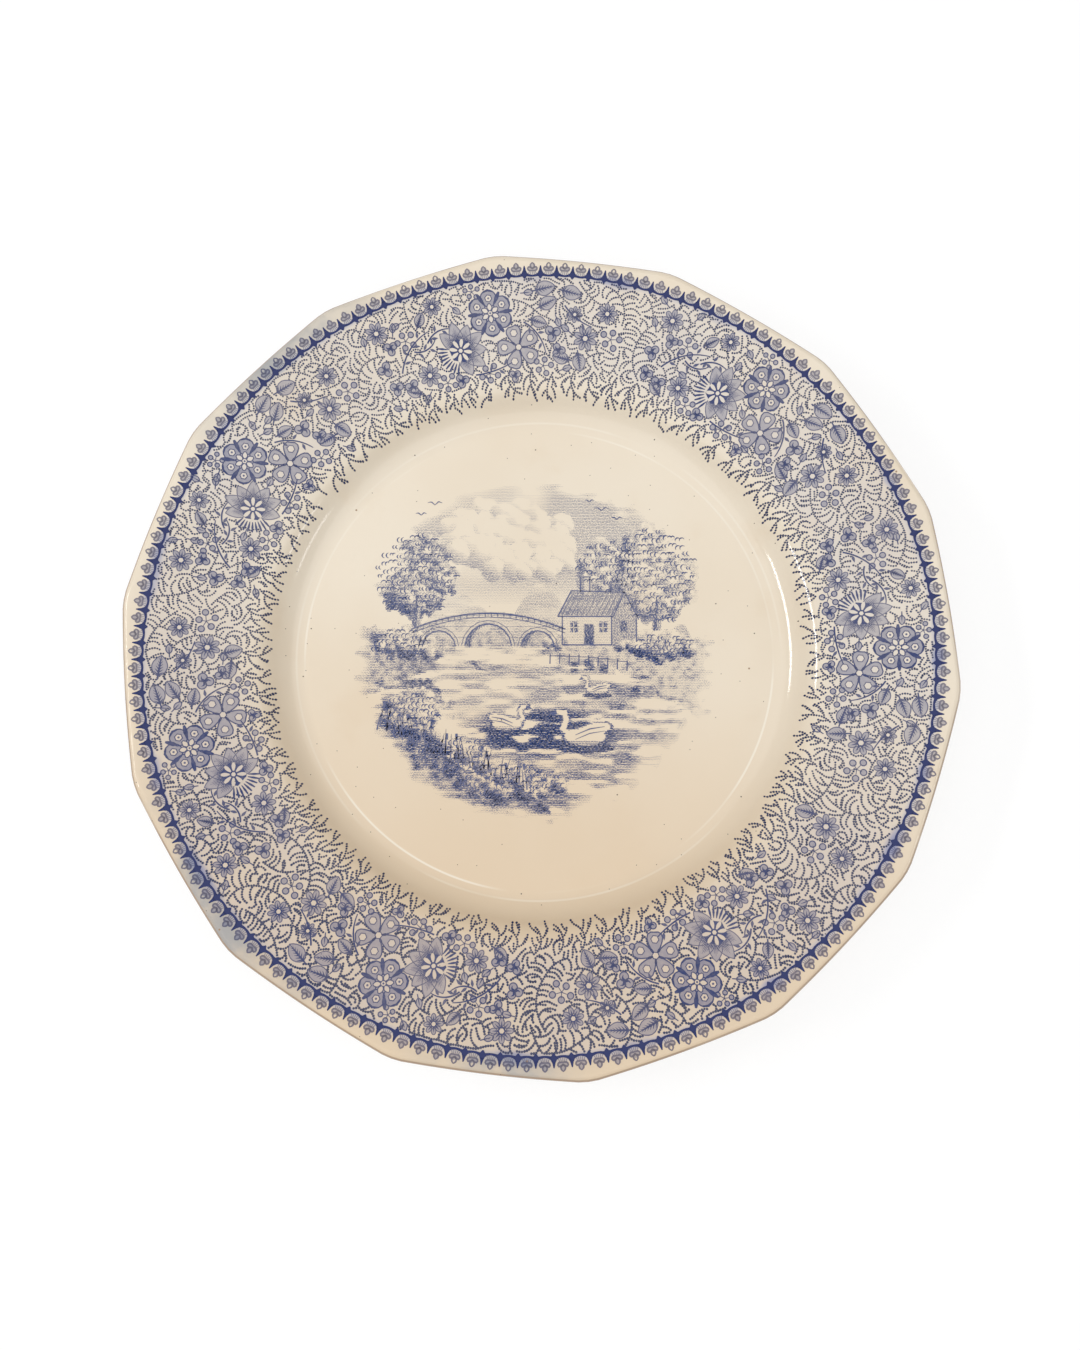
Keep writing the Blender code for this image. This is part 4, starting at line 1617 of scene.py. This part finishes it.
paper, tools, paper_shader = new_material("white_paper", {"Roughness": 0.9})
paper_tint = tools.mix(tools.noise(400, 3), color(0.93, 0.93, 0.93), color(0.97, 0.97, 0.97))
tools.links.new(paper_tint, paper_shader.inputs["Base Color"])
white = tools.nodes.new("ShaderNodeEmission")
white.inputs["Strength"].default_value = PAPER_WHITE
blend = tools.nodes.new("ShaderNodeMixShader")
tools.links.new(tools.times(seen_directly(tools), 1 - SHADOW_KEPT), blend.inputs[0])
tools.links.new(paper_shader.outputs[0], blend.inputs[1])
tools.links.new(white.outputs[0], blend.inputs[2])
tools.links.new(blend.outputs[0], tools.nodes["Material Output"].inputs["Surface"])
floor_mesh.materials.append(paper)
print("paper shows", SHADOW_KEPT, "of its shadow")

# %% Lamps and sky
WORLD_LEVEL = 0.46
world = bpy.data.worlds.new("studio")
bpy.context.scene.world = world
world.use_nodes = True
tools = Tree(world.node_tree)
camera_ray = tools.nodes.new("ShaderNodeLightPath").outputs["Is Camera Ray"]
level = tools.math("ADD", WORLD_LEVEL, tools.times(camera_ray, 1 - WORLD_LEVEL))
tools.nodes["Background"].inputs["Color"].default_value = color(1, 1, 1)
tools.links.new(level, tools.nodes["Background"].inputs["Strength"])


def soft_lamp(name, place, wide, high, power):
    """A rectangular lamp that faces the plate."""
    lamp = bpy.data.objects.new(name, bpy.data.lights.new(name, "AREA"))
    lamp.data.shape = "RECTANGLE"
    lamp.data.size = wide
    lamp.data.size_y = high
    lamp.data.energy = power
    lamp.location = place
    lamp.rotation_euler = (-Vector(place)).to_track_quat("-Z", "Y").to_euler()
    bpy.context.scene.collection.objects.link(lamp)


LAMP_AWAY = 1.5


def around(turn, rise):
    """A place on a dome over the plate, from its turn about the axis and its rise, in degrees."""
    turn, rise = math.radians(turn), math.radians(rise)
    flat = LAMP_AWAY * math.cos(rise)
    return flat * math.cos(turn), flat * math.sin(turn), LAMP_AWAY * math.sin(rise)


for lamp_name, lamp_place, wide, high, power in (
    ("key", (0.05, -0.30, 1.84), 3.0, 3.0, 23.7),
    ("window_strip", around(181, 40), 0.66, 0.14, 5.0),
    ("far_window", around(350, 24), 0.40, 0.16, 0.95),
):
    soft_lamp(lamp_name, lamp_place, wide, high, power)
bpy.context.scene.view_settings.view_transform = "Standard"
print("lamps:", [lamp.name for lamp in bpy.data.lights])
